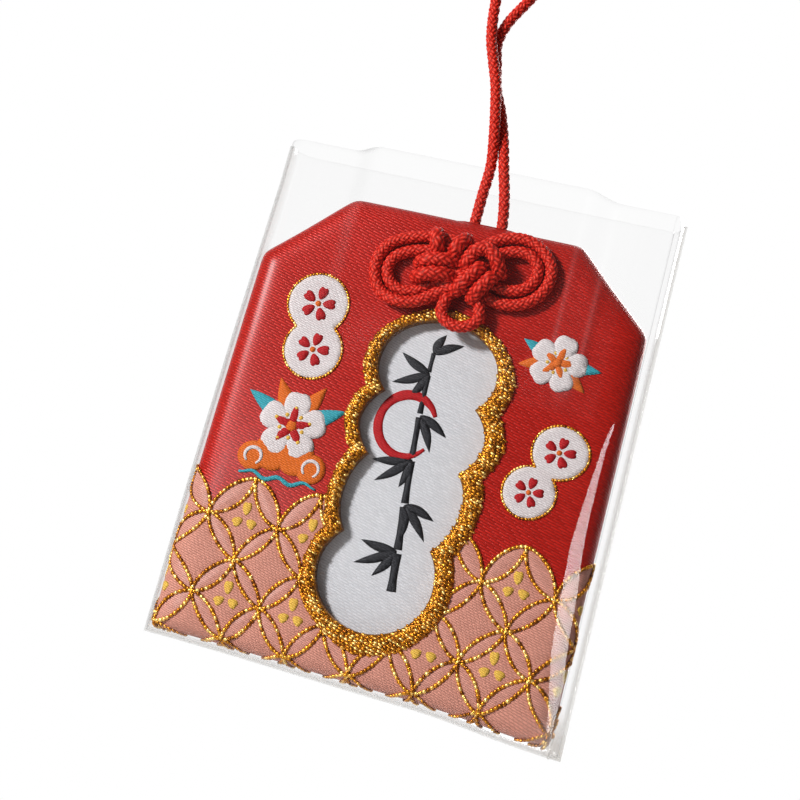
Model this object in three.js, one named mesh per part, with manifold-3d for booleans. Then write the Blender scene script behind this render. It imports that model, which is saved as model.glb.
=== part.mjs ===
// Amulet pouch: a flat brocade pouch with a lobed window, a tied cord and a clear film sleeve.
// Millimetres. +Z is up, the front faces -Y. The origin is where a hook bears, under the top of the hanging loop.
import * as THREE from 'three';
import { mergeVertices } from 'three/addons/utils/BufferGeometryUtils.js';
import Module from 'manifold-3d';

// Pouch
const POUCH_WIDTH = 57;
const POUCH_HEIGHT = 68;
const POUCH_DEPTH = 6;
const SHOULDER_RUN = 12; // along the top edge
const SHOULDER_DROP = 11; // down the side
const EDGE_ROLL = 2.6; // how far the rolled edge reaches in over each face
const CLOTH = 0.4;
const FOOT_CORNER_RADIUS = 1.6;
const SHOULDER_CORNER_RADIUS = 4;
const TOP_CORNER_RADIUS = 2.5;
const SEAM_GAP = 0.3; // between the two halves of the pouch, along the side seam
const FIT_GAP = 0.3; // between pieces that lie against each other

// Window, a row of round lobes, and its sewn border
const LOBE_COUNT = 4;
const LOBE_RADIUS = 8.5;
const WINDOW_X = 1.4; // sewn a little right of the middle
const WINDOW_FOOT = 7.2; // from the pouch's foot to the lowest lobe
const WINDOW_TOP = 15.6; // from the pouch's top edge to the highest lobe, under the knot
const BORDER_WIDTH = 3;
const BORDER_HEIGHT = 0.7;

// Layers inside the pouch, from front to back
const STIFFENER_THICKNESS = 1.4;
const SATIN_THICKNESS = 0.3;
const BOARD_THICKNESS = 0.8;
const BACK_STIFFENER_THICKNESS = 1.1;
const WRAPPER_PAPER = 0.2;
const SLIP_THICKNESS = 0.8;
const SLIP_WIDTH = 30;
const SLIP_HEIGHT = 50;
const SLIP_PLAY = 0.1; // air round the slip and its wrapper
const LAYER_SIDE_GAP = 0.5; // from the layers to the flat of the cloth
const INSERT_LAP = 4; // how far the insert reaches behind the window's edge

// Cord
const KNOT_CORD = 1.8;
const STRAND_CORD = 1.6;
const CORD_SIDES = 8;
const CORD_GAP = 0.3; // between runs of cord that cross
const HOOK_RISE = 51; // from the pouch's top edge to the hook

// Clear sleeve
const FILM = 0.25;
const SLEEVE_SIDE_GAP = 0.5; // from the pouch's edge to the inside of the film
const SLEEVE_FRONT_GAP = 0.3; // from the border to the film
const SLEEVE_BACK_GAP = 0.4;
const SLEEVE_KNOT_GAP = 0.5; // from the knot to the film
const SLEEVE_MOUTH_RISE = 6.3; // above the pouch's top edge
const SLEEVE_LEFT_ROLL = 3; // rounding of the film along its welds, which is drawn tighter at the right
const SLEEVE_RIGHT_ROLL = 1.3;
const SLEEVE_FOOT_ROLL = 1.6;
const WELD_WIDTH = 1.2;
const KNOT_TENT_FOOT = 25; // below the top edge, where the film starts to stand off for the knot
const KNOT_TENT_FULL = 15; // below the top edge, where it clears the knot
const KNOT_TENT_HALF = 15; // half the width that the film clears at the knot
const KNOT_TENT_EASE = 5; // width over which the film falls back to the pouch
const CREASE_INSET = 3.9; // from the right weld to the front film's crease, where it lies furthest in
const CREASE_RISE = 25; // from the pouch's foot to that place
const CREASE_BOW = 0.0042; // how the crease bends towards the weld, per mm squared
const CREASE_WIDTH = 2.3; // of the facet beside the crease, and its narrower upper end
const CREASE_TOP_WIDTH = 0.8;
const CREASE_NARROWS = [18, 44]; // above the foot, between which the facet narrows
const CREASE_FADES = [42, 50]; // above the foot, between which it flattens out
const CREASE_SLOPE = 0.39; // how far the facet falls back, per mm across it

const ARC_STEPS = 4; // in each rounded corner and rolled edge
const LOBE_STEPS = 8; // in each lobe of the window

const halfWidth = POUCH_WIDTH / 2;
const halfDepth = POUCH_DEPTH / 2;
const faceY = -halfDepth;
const slotClearance = STRAND_CORD / 2 + FIT_GAP;
const cordRadius = STRAND_CORD / 2;
const knotRadius = KNOT_CORD / 2;

const colours = {
  brocade: { color: 0xc0211c, roughness: 0.55, metalness: 0 },
  gold: { color: 0xb98a24, roughness: 0.35, metalness: 0.8 },
  satin: { color: 0xe6e6ec, roughness: 0.5, metalness: 0 },
  card: { color: 0xd9cdb4, roughness: 0.9, metalness: 0 },
  slip: { color: 0xcaa46c, roughness: 0.7, metalness: 0 },
  paper: { color: 0xf1ede2, roughness: 0.9, metalness: 0 },
  cord: { color: 0xb9120f, roughness: 0.6, metalness: 0 },
  film: { color: 0xf4f6f8, roughness: 0.1, metalness: 0, transparent: true, opacity: 0.3 },
};

const part = new THREE.Group();
part.position.z = -HOOK_RISE; // pieces are placed from the middle of the pouch's top edge

function piece(name, geometry, look) {
  const mesh = new THREE.Mesh(geometry, new THREE.MeshStandardMaterial(colours[look]));
  mesh.name = name;
  part.add(mesh);
}

// Joining and cutting of closed meshes

const wasm = await Module();
wasm.setup();

function solid(geometry) {
  const bare = geometry.clone();
  for (const name of Object.keys(bare.attributes)) {
    if (name !== 'position') bare.deleteAttribute(name);
  }
  const merged = mergeVertices(bare, 1e-4);
  const vertProperties = new Float32Array(merged.attributes.position.array);
  const triVerts = new Uint32Array(merged.index.array);
  return new wasm.Manifold(new wasm.Mesh({ numProp: 3, vertProperties, triVerts }));
}

function geometryOf(body) {
  const mesh = body.getMesh();
  const geometry = new THREE.BufferGeometry();
  geometry.setAttribute('position', new THREE.BufferAttribute(new Float32Array(mesh.vertProperties), 3));
  geometry.setIndex(Array.from(mesh.triVerts));
  geometry.computeVertexNormals();
  return geometry;
}

function box(x0, x1, y0, y1, z0, z1) {
  const geometry = new THREE.BoxGeometry(x1 - x0, y1 - y0, z1 - z0);
  geometry.translate((x0 + x1) / 2, (y0 + y1) / 2, (z0 + z1) / 2);
  return geometry;
}

// A flat shape drawn in X and Z, from frontY back by its thickness
function plate(shape, frontY, thickness) {
  const options = { depth: thickness, bevelEnabled: false, curveSegments: LOBE_STEPS };
  const geometry = new THREE.ExtrudeGeometry(shape, options);
  geometry.rotateX(Math.PI / 2);
  geometry.translate(0, frontY + thickness, 0);
  return geometry;
}

// The pouch's outline, drawn in by inset, with rounded corners

function shoulderCorners(inset) {
  const length = Math.hypot(SHOULDER_RUN, SHOULDER_DROP);
  const offset = (SHOULDER_DROP * (halfWidth - SHOULDER_RUN)) / length - inset;
  const sideX = halfWidth - inset;
  const low = new THREE.Vector2(sideX, (length * offset - SHOULDER_DROP * sideX) / SHOULDER_RUN);
  const high = new THREE.Vector2((length * offset + SHOULDER_RUN * inset) / SHOULDER_DROP, -inset);
  return { low, high };
}

function roundedCorner(before, corner, after, radius) {
  const back = before.clone().sub(corner);
  const ahead = after.clone().sub(corner);
  const halfAngle = Math.acos(back.clone().normalize().dot(ahead.clone().normalize())) / 2;
  const reach = Math.min(radius / Math.tan(halfAngle), back.length() * 0.45, ahead.length() * 0.45);
  const start = corner.clone().add(back.setLength(reach));
  const end = corner.clone().add(ahead.setLength(reach));
  const bend = new THREE.QuadraticBezierCurve(start, corner, end);
  return bend.getPoints(ARC_STEPS);
}

function pouchOutline(inset) {
  const { low, high } = shoulderCorners(inset);
  const footZ = -POUCH_HEIGHT + inset;
  const corners = [
    [new THREE.Vector2(-halfWidth + inset, footZ), FOOT_CORNER_RADIUS],
    [new THREE.Vector2(halfWidth - inset, footZ), FOOT_CORNER_RADIUS],
    [low, SHOULDER_CORNER_RADIUS],
    [high, TOP_CORNER_RADIUS],
    [new THREE.Vector2(-high.x, high.y), TOP_CORNER_RADIUS],
    [new THREE.Vector2(-low.x, low.y), SHOULDER_CORNER_RADIUS],
  ];
  return corners.flatMap(([corner, radius], i) => {
    const before = corners.at(i - 1)[0];
    const after = corners[(i + 1) % corners.length][0];
    return roundedCorner(before, corner, after, radius);
  });
}

// A closed body through outlines of equal point count, each lying at its own Y, from the seam to the face.
// side is -1 towards the front and 1 towards the back.
function loft(rings, side) {
  const count = rings[0].outline.length;
  const positions = rings.flatMap(({ outline, y }) => outline.flatMap((p) => [p.x, y, p.y]));
  const index = [];
  const facet = (a, b, c) => (side < 0 ? index.push(a, b, c) : index.push(a, c, b));
  for (let r = 0; r + 1 < rings.length; r += 1) {
    for (let i = 0; i < count; i += 1) {
      const a = r * count + i;
      const b = r * count + ((i + 1) % count);
      facet(a, b, b + count);
      facet(a, b + count, a + count);
    }
  }
  const last = (rings.length - 1) * count;
  for (const [a, b, c] of THREE.ShapeUtils.triangulateShape(rings[0].outline, [])) {
    facet(a, c, b);
    facet(last + a, last + b, last + c);
  }
  const geometry = new THREE.BufferGeometry();
  geometry.setAttribute('position', new THREE.Float32BufferAttribute(positions, 3));
  geometry.setIndex(index);
  return geometry;
}

// Half of the pouch with its rolled edge, drawn in all round by inset and carried on past the seam by overrun
function rolledHalf(side, inset, overrun) {
  const seam = SEAM_GAP / 2;
  const rings = [];
  if (overrun > 0) rings.push({ outline: pouchOutline(inset), y: side * (seam - overrun) });
  for (let k = 0; k <= ARC_STEPS; k += 1) {
    const turn = (k / ARC_STEPS) * (Math.PI / 2);
    const drawnIn = inset + (EDGE_ROLL - inset) * (1 - Math.cos(turn));
    const depth = seam + (halfDepth - seam - inset) * Math.sin(turn);
    rings.push({ outline: pouchOutline(drawnIn), y: side * depth });
  }
  return loft(rings, side);
}

// Strand places at the mouth, shared by the cord and the slot that it passes
const leftMouthX = 0.8;
const rightMouthX = 4.9;
const mouthSlot = box(
  leftMouthX - slotClearance,
  rightMouthX + slotClearance,
  -slotClearance,
  slotClearance,
  -2 * EDGE_ROLL,
  EDGE_ROLL,
);

function clothHalf(side) {
  const outside = solid(rolledHalf(side, 0, 0));
  const inside = solid(rolledHalf(side, CLOTH, halfDepth));
  return outside.subtract(inside).subtract(solid(mouthSlot));
}

// Window outline, grown outwards by growth

const lobeFootZ = -POUCH_HEIGHT + WINDOW_FOOT + LOBE_RADIUS;
const lobeTopZ = -WINDOW_TOP - LOBE_RADIUS;
const lobeSpacing = (lobeTopZ - lobeFootZ) / (LOBE_COUNT - 1);

function lobedOutline(path, growth) {
  const radius = LOBE_RADIUS + growth;
  const meet = Math.asin(lobeSpacing / 2 / radius);
  const top = LOBE_COUNT - 1;
  const centreZ = (i) => lobeFootZ + i * lobeSpacing;
  for (let i = 0; i < top; i += 1) {
    path.absarc(WINDOW_X, centreZ(i), radius, i === 0 ? -Math.PI / 2 : -meet, meet, false);
  }
  path.absarc(WINDOW_X, centreZ(top), radius, -meet, Math.PI + meet, false);
  for (let i = top - 1; i >= 0; i -= 1) {
    const end = i === 0 ? Math.PI * 1.5 : Math.PI + meet;
    path.absarc(WINDOW_X, centreZ(i), radius, Math.PI - meet, end, false);
  }
  return path;
}

function windowCutter(frontY, thickness) {
  return solid(plate(lobedOutline(new THREE.Shape(), 0), frontY, thickness));
}

const frontCloth = clothHalf(-1).subtract(windowCutter(faceY - CLOTH, 3 * CLOTH));
piece('front_brocade', geometryOf(frontCloth), 'brocade');
piece('back_brocade', geometryOf(clothHalf(1)), 'brocade');

const border = lobedOutline(new THREE.Shape(), BORDER_WIDTH);
border.holes.push(lobedOutline(new THREE.Path(), 0));
piece('window_border', plate(border, faceY - BORDER_HEIGHT, BORDER_HEIGHT), 'gold');

// Layers inside the pouch, stacked from the front cloth to the back cloth

const layerFootZ = -POUCH_HEIGHT + EDGE_ROLL + LAYER_SIDE_GAP;

function panel(halfX, middleX, footZ, topZ) {
  const shape = new THREE.Shape();
  shape.moveTo(middleX - halfX, footZ);
  shape.lineTo(middleX + halfX, footZ);
  shape.lineTo(middleX + halfX, topZ);
  shape.lineTo(middleX - halfX, topZ);
  shape.closePath();
  return shape;
}

const stiffenerY = faceY + CLOTH;
const satinY = stiffenerY + STIFFENER_THICKNESS;
const boardY = satinY + SATIN_THICKNESS;
const wrapperY = boardY + BOARD_THICKNESS;
const backStiffenerY = halfDepth - CLOTH - BACK_STIFFENER_THICKNESS;

const layerShape = new THREE.Shape(pouchOutline(EDGE_ROLL + LAYER_SIDE_GAP));
const stiffener = solid(plate(layerShape, stiffenerY, STIFFENER_THICKNESS));
const stiffenerCut = windowCutter(stiffenerY - CLOTH, STIFFENER_THICKNESS + 2 * CLOTH);
piece('front_stiffener', geometryOf(stiffener.subtract(stiffenerCut)), 'card');

const insertShape = panel(LOBE_RADIUS + INSERT_LAP, WINDOW_X, layerFootZ, -WINDOW_TOP + INSERT_LAP);
piece('insert_satin', plate(insertShape, satinY, SATIN_THICKNESS), 'satin');
piece('insert_board', plate(insertShape, boardY, BOARD_THICKNESS), 'card');

// The wrapper is one sheet folded round the slip, seen from above as a C
const wrapperHalf = SLIP_WIDTH / 2 + SLIP_PLAY + WRAPPER_PAPER;
const wrapperDepth = SLIP_THICKNESS + 2 * (SLIP_PLAY + WRAPPER_PAPER);
const slipFootZ = layerFootZ;
const fold = new THREE.Shape();
fold.moveTo(-wrapperHalf, wrapperY);
fold.lineTo(wrapperHalf, wrapperY);
fold.lineTo(wrapperHalf, wrapperY + WRAPPER_PAPER);
fold.lineTo(-wrapperHalf + WRAPPER_PAPER, wrapperY + WRAPPER_PAPER);
fold.lineTo(-wrapperHalf + WRAPPER_PAPER, wrapperY + wrapperDepth - WRAPPER_PAPER);
fold.lineTo(wrapperHalf, wrapperY + wrapperDepth - WRAPPER_PAPER);
fold.lineTo(wrapperHalf, wrapperY + wrapperDepth);
fold.lineTo(-wrapperHalf, wrapperY + wrapperDepth);
fold.closePath();
const wrapper = new THREE.ExtrudeGeometry(fold, { depth: SLIP_HEIGHT, bevelEnabled: false });
wrapper.translate(0, 0, slipFootZ);
piece('slip_wrapper', wrapper, 'paper');

const slipShape = panel(SLIP_WIDTH / 2, 0, slipFootZ, slipFootZ + SLIP_HEIGHT);
piece('charm_slip', plate(slipShape, wrapperY + WRAPPER_PAPER + SLIP_PLAY, SLIP_THICKNESS), 'slip');
piece('back_stiffener', plate(layerShape, backStiffenerY, BACK_STIFFENER_THICKNESS), 'card');

// Cord. Runs are lists of [x, y, z] from the middle of the pouch's top edge.

function cordSection(radius) {
  const section = new THREE.Shape();
  for (let i = 0; i < CORD_SIDES; i += 1) {
    const turn = (i / CORD_SIDES) * 2 * Math.PI;
    const [x, y] = [radius * Math.cos(turn), radius * Math.sin(turn)];
    if (i === 0) section.moveTo(x, y);
    else section.lineTo(x, y);
  }
  section.closePath();
  return section;
}

function cordRun(points, radius, stepsPerPoint = 2) {
  const route = new THREE.CatmullRomCurve3(points.map((p) => new THREE.Vector3(...p)), false, 'centripetal');
  const steps = stepsPerPoint * (points.length - 1);
  return new THREE.ExtrudeGeometry(cordSection(radius), { steps, extrudePath: route, bevelEnabled: false });
}

function withRoundEnds(run, ends, radius) {
  let body = solid(run);
  for (const end of ends) {
    const ball = new THREE.SphereGeometry(radius, CORD_SIDES, CORD_SIDES);
    ball.translate(...end);
    body = body.add(solid(ball));
  }
  return geometryOf(body);
}

// The point on the way from end to inner that leaves room for a round end beside it
function shortOf(end, inner) {
  const from = new THREE.Vector3(...end);
  const towards = new THREE.Vector3(...inner).sub(from).setLength(cordRadius + CORD_GAP);
  return from.add(towards).toArray();
}

// Knot: runs lying on the cloth, and wraps that cross over them
const lyingY = faceY - FIT_GAP - knotRadius;
const wrapY = lyingY - KNOT_CORD - CORD_GAP;
const slackY = (lyingY + wrapY) / 2; // where a wrap turns down beside the runs
const dropY = faceY - BORDER_HEIGHT - FIT_GAP - knotRadius;

const lying = (points) => points.map(([x, z, y = lyingY]) => [x, y, z]);
const knotRuns = {
  knot_left_ear_outer: lying([
    [0.2, -3.4], [-3.4, -3.4], [-6.9, -4.2], [-9.6, -5.6], [-11.0, -8.1], [-10.8, -10.8],
    [-9.3, -13.0], [-6.6, -14.0, dropY], [-3.8, -13.5, dropY], [-1.4, -11.8, dropY],
  ]),
  knot_left_ear_inner: lying([
    [-1.3, -5.6], [-3.7, -5.8], [-6.2, -6.5], [-8.2, -7.8], [-8.8, -9.4], [-8.0, -11.0],
    [-6.4, -11.8], [-4.7, -11.5], [-3.2, -10.8],
  ]),
  knot_right_ear_outer: lying([
    [2.6, -4.2], [4.6, -2.5], [7.1, -1.3], [9.6, -1.1], [12.0, -2.1], [13.8, -4.3],
    [13.9, -7.0], [12.6, -9.3], [10.3, -10.7], [7.6, -11.0], [5.8, -10.5],
  ]),
  knot_right_ear_inner: lying([
    [4.6, -5.6], [6.4, -4.1], [8.4, -3.3], [10.2, -3.5], [11.5, -4.8], [11.6, -6.4],
    [10.6, -7.8], [8.9, -8.6], [7.1, -8.6],
  ]),
  knot_cross_wrap_upper: [[-4.2, slackY, -7.7], [-3.3, wrapY, -7.5], [-0.9, wrapY, -7.0], [0.0, slackY, -6.9]],
  knot_cross_wrap_lower: [[-4.2, slackY, -9.9], [-3.3, wrapY, -9.7], [-1.1, wrapY, -9.2], [-0.2, slackY, -9.1]],
  knot_upright_wrap_left: [[-3.1, slackY, -1.2], [-2.9, wrapY, -2.3], [-2.6, wrapY, -4.0], [-2.4, wrapY, -5.1]],
  knot_upright_wrap_right: [[0.9, slackY, -1.2], [0.6, wrapY, -2.3], [0.1, wrapY, -3.8], [-0.1, wrapY, -4.8]],
  knot_arched_wrap: [
    [2.2, wrapY, -5.8], [2.9, wrapY, -4.6], [4.4, wrapY, -4.2], [6.0, wrapY, -5.2], [6.7, slackY, -6.4],
  ],
  knot_slanted_wrap_left: [[3.9, wrapY, -7.4], [3.1, wrapY, -8.5], [2.3, wrapY, -9.6], [1.7, slackY, -10.5]],
  knot_slanted_wrap_right: [[5.9, wrapY, -8.5], [5.3, wrapY, -9.4], [4.7, wrapY, -10.3], [4.2, slackY, -11.1]],
  knot_drop_loop: [
    [0.3, dropY, -12.9], [0.1, dropY, -13.9], [0.9, dropY, -15.2], [2.8, dropY, -15.8], [4.8, dropY, -15.1],
    [5.6, dropY, -13.8], [5.3, dropY, -12.9],
  ],
};
for (const [name, points] of Object.entries(knotRuns)) {
  piece(name, cordRun(points, knotRadius), 'cord');
}

// Free strands. They lie side by side at the lower bend and one behind the other at the upper bend,
// so that the bend's axis runs through both.
const lowerBend = { left: [0.95, 0, 10.3], right: [2.9, 0, 10.3] };
const strandSpread = cordRadius + CORD_GAP / 2;
const upperBend = { left: [-1.35, -strandSpread, 22.5], right: [-1.35, strandSpread, 22.5] };

const roots = {
  left: [[leftMouthX, 0, -7.5], [leftMouthX, 0, -3], [leftMouthX, 0, 1], [0.85, 0, 5.5]],
  right: [[rightMouthX, 0, -7.5], [rightMouthX, 0, -3], [rightMouthX, 0, 1], [4.2, 0, 5.4]],
};
const necks = {
  left: [[0.3, -0.68, 15], [-0.5, -0.9, 19]],
  right: [[1.6, 0.68, 15], [0.2, 0.9, 19]],
};
for (const side of ['left', 'right']) {
  const root = [...roots[side], shortOf(lowerBend[side], roots[side].at(-1))];
  piece(`${side}_strand_root`, cordRun(root, cordRadius), 'cord');
  const neck = [lowerBend[side], ...necks[side], shortOf(upperBend[side], necks[side].at(-1))];
  const neckRun = cordRun(neck, cordRadius, 3);
  piece(`${side}_neck_strand`, withRoundEnds(neckRun, [lowerBend[side]], cordRadius), 'cord');
}

const loopTopZ = HOOK_RISE + cordRadius;
const loop = [
  upperBend.left, [-2.6, -0.95, 26], [-3.8, -0.85, 29.6], [-4.6, -0.6, 35], [-4.7, -0.3, 41],
  [-3.5, 0, loopTopZ - 4], [0, 0, loopTopZ], [3.4, 0, loopTopZ - 4], [2.8, 0.3, 42.5],
  [0.2, 0.6, 37.5], [-2.3, 0.85, 33], [-3.0, 0.95, 29.7], [-2.3, 0.95, 26.3], upperBend.right,
];
const loopRun = cordRun(loop, cordRadius, 3);
piece('hanging_loop', withRoundEnds(loopRun, [upperBend.left, upperBend.right], cordRadius), 'cord');

// Clear sleeve: two films welded along the sides and the foot, open at the top

const sleeveHalf = halfWidth + SLEEVE_SIDE_GAP;
const sleeveFootZ = -POUCH_HEIGHT - SLEEVE_SIDE_GAP;
const frontReach = halfDepth + BORDER_HEIGHT + SLEEVE_FRONT_GAP;
const backReach = halfDepth + SLEEVE_BACK_GAP;
const tentReach = -wrapY + knotRadius + SLEEVE_KNOT_GAP;
const knotX = WINDOW_X;
const rollSteps = [0, 0.1, 0.3, 0.6, 1];
const easeSteps = [0, 0.25, 0.5, 0.75, 1];
const flatRight = sleeveHalf - SLEEVE_RIGHT_ROLL; // where the film starts to round at the right
const facetRoom = 0.1; // least distance between the facet's edges and that place

function lerp(from, to, share) {
  return THREE.MathUtils.lerp(from, to, share);
}

function eased(from, to, value) {
  return THREE.MathUtils.smoothstep(value, from, to);
}

// The facet beside the front film's crease: where it starts and ends at height z, and how far it falls back
function facetAt(z) {
  const rise = z + POUCH_HEIGHT;
  const bowed = sleeveHalf - CREASE_INSET + CREASE_BOW * (rise - CREASE_RISE) ** 2;
  const start = Math.min(bowed, flatRight - 2 * facetRoom);
  const width = lerp(CREASE_WIDTH, CREASE_TOP_WIDTH, eased(...CREASE_NARROWS, rise));
  const end = Math.min(start + width, flatRight - facetRoom);
  return { start, end, slope: CREASE_SLOPE * (1 - eased(...CREASE_FADES, rise)) };
}

// How far the film stands off at x and z, where share is how much of the rounding at its weld is done
function filmReach(x, z, share, { reach, tent, creased }) {
  const rolled = Math.sqrt(1 - (1 - THREE.MathUtils.clamp(share, 0, 1)) ** 2);
  const across = 1 - eased(KNOT_TENT_HALF, KNOT_TENT_HALF + KNOT_TENT_EASE, Math.abs(x - knotX));
  const along = eased(-KNOT_TENT_FOOT, -KNOT_TENT_FULL, z);
  const { start, end, slope } = facetAt(z);
  const fall = creased ? slope * THREE.MathUtils.clamp(x - start, 0, end - start) : 0;
  return rolled * (reach + tent * across * along - fall);
}

// Grid of points on one face of a film, grown outwards from the inside face by growth
function filmFace(side, form, growth) {
  const half = sleeveHalf + growth;
  const foot = sleeveFootZ - growth;
  const weldEdge = sleeveHalf + WELD_WIDTH;
  const leftRim = rollSteps.map((step) => step * SLEEVE_LEFT_ROLL - half);
  const rightRim = rollSteps.toReversed().map((step) => half - step * SLEEVE_RIGHT_ROLL);
  const tentEdge = easeSteps.map((step) => KNOT_TENT_HALF + step * KNOT_TENT_EASE);
  const tentColumns = [...tentEdge.toReversed().map((x) => knotX - x), ...tentEdge.map((x) => knotX + x)];
  const footRows = rollSteps.map((step) => foot + step * SLEEVE_FOOT_ROLL);
  const faceRows = easeSteps.slice(1, -1).map((step) => lerp(footRows.at(-1), -KNOT_TENT_FOOT, step));
  const tentRows = easeSteps.map((step) => lerp(-KNOT_TENT_FOOT, -KNOT_TENT_FULL, step));
  const rows = [sleeveFootZ - WELD_WIDTH, ...footRows, ...faceRows, ...tentRows, SLEEVE_MOUTH_RISE];
  return rows.map((z) => {
    const { start, end } = facetAt(z);
    const columns = [-weldEdge, ...leftRim, ...tentColumns, start, end, ...rightRim, weldEdge];
    return columns.map((x) => {
      const sides = Math.min((x + half) / SLEEVE_LEFT_ROLL, (half - x) / SLEEVE_RIGHT_ROLL);
      const share = Math.min(sides, (z - foot) / SLEEVE_FOOT_ROLL);
      return new THREE.Vector3(x, side * (growth + filmReach(x, z, share, form)), z);
    });
  });
}

// A closed sheet between two grids of equal size
function sheetBetween(outer, inner) {
  const rows = outer.length;
  const columns = outer[0].length;
  const positions = [...outer.flat(), ...inner.flat()].flatMap((p) => p.toArray());
  const at = (layer, r, c) => layer * rows * columns + r * columns + c;
  const index = [];
  const quad = (a, b, c, d) => index.push(a, b, c, a, c, d);
  for (let r = 0; r + 1 < rows; r += 1) {
    for (let c = 0; c + 1 < columns; c += 1) {
      quad(at(0, r, c), at(0, r, c + 1), at(0, r + 1, c + 1), at(0, r + 1, c));
      quad(at(1, r, c), at(1, r + 1, c), at(1, r + 1, c + 1), at(1, r, c + 1));
    }
  }
  for (let c = 0; c + 1 < columns; c += 1) {
    quad(at(0, 0, c), at(1, 0, c), at(1, 0, c + 1), at(0, 0, c + 1));
    quad(at(0, rows - 1, c), at(0, rows - 1, c + 1), at(1, rows - 1, c + 1), at(1, rows - 1, c));
  }
  for (let r = 0; r + 1 < rows; r += 1) {
    quad(at(0, r, 0), at(0, r + 1, 0), at(1, r + 1, 0), at(1, r, 0));
    quad(at(0, r, columns - 1), at(1, r, columns - 1), at(1, r + 1, columns - 1), at(0, r + 1, columns - 1));
  }
  const geometry = new THREE.BufferGeometry();
  geometry.setAttribute('position', new THREE.Float32BufferAttribute(positions, 3));
  geometry.setIndex(index);
  return geometry;
}

const frontForm = { reach: frontReach, tent: tentReach - frontReach, creased: true };
piece('sleeve_front_film', sheetBetween(filmFace(-1, frontForm, FILM), filmFace(-1, frontForm, 0)), 'film');
const backForm = { reach: backReach, tent: 0, creased: false };
piece('sleeve_back_film', sheetBetween(filmFace(1, backForm, 0), filmFace(1, backForm, FILM)), 'film');

export default part;
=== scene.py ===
"""Sews, ties and sleeves an amulet pouch around its packed solids.

Shapes are worked out in millimetres from the middle of the pouch's foot, with +Z up and the front at -Y,
and go into the row frame, in metres, when a piece is made.
"""

import math

import bpy
import numpy as np
from bpy.props import FloatProperty, FloatVectorProperty, IntProperty, PointerProperty
from bpy.types import NodeSocket, Operator, Panel, PropertyGroup
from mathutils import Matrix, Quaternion, Vector
from mathutils.geometry import delaunay_2d_cdt
from numpy.linalg import norm


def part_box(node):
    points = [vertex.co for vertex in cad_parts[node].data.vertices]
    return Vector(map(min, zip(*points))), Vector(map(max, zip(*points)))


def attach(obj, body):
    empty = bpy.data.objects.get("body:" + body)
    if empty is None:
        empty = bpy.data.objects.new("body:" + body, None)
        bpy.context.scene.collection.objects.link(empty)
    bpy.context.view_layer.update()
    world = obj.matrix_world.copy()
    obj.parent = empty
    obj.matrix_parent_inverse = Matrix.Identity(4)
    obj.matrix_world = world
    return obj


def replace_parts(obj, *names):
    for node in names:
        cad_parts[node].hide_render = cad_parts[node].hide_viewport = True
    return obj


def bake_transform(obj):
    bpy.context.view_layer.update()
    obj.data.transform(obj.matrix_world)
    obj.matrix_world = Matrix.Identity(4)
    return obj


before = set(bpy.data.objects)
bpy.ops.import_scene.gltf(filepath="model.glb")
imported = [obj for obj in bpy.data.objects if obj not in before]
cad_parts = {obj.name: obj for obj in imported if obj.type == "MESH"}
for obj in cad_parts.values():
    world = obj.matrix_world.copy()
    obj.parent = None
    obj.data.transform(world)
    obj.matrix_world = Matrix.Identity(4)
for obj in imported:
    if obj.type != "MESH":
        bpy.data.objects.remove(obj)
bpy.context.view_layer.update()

bl_info = {
    "name": "Amulet pouch",
    "version": (1, 0, 0),
    "blender": (4, 5, 0),
    "location": "View3D > Sidebar > Amulet pouch",
    "description": "Sews, ties and sleeves an amulet pouch around its packed solids",
    "category": "Object",
}

MM = 0.001
FRONT = -1
BACK = 1

FACE_LOW, FACE_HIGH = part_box("front_brocade")
BORDER_LOW, BORDER_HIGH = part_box("window_border")
SATIN_LOW, SATIN_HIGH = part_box("insert_satin")
_, SLEEVE_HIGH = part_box("sleeve_front_film")
FOOT_Z = FACE_LOW.z
HALF_WIDTH = FACE_HIGH.x / MM
HEIGHT = (FACE_HIGH.z - FACE_LOW.z) / MM
HALF_DEPTH = -FACE_LOW.y / MM


# Settings


def length_setting(name, description, millimetres):
    return FloatProperty(
        name=name, description=description, default=millimetres * MM, unit="LENGTH", precision=5
    )


def angle_setting(name, description, degrees):
    return FloatProperty(name=name, description=description, default=math.radians(degrees), subtype="ANGLE")


def place_setting(name, description, place):
    return FloatVectorProperty(name=name, description=description, default=place, subtype="TRANSLATION")


def colour_setting(name, description, colour):
    return FloatVectorProperty(
        name=name, description=description, default=colour, subtype="COLOR", min=0, max=1
    )


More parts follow.
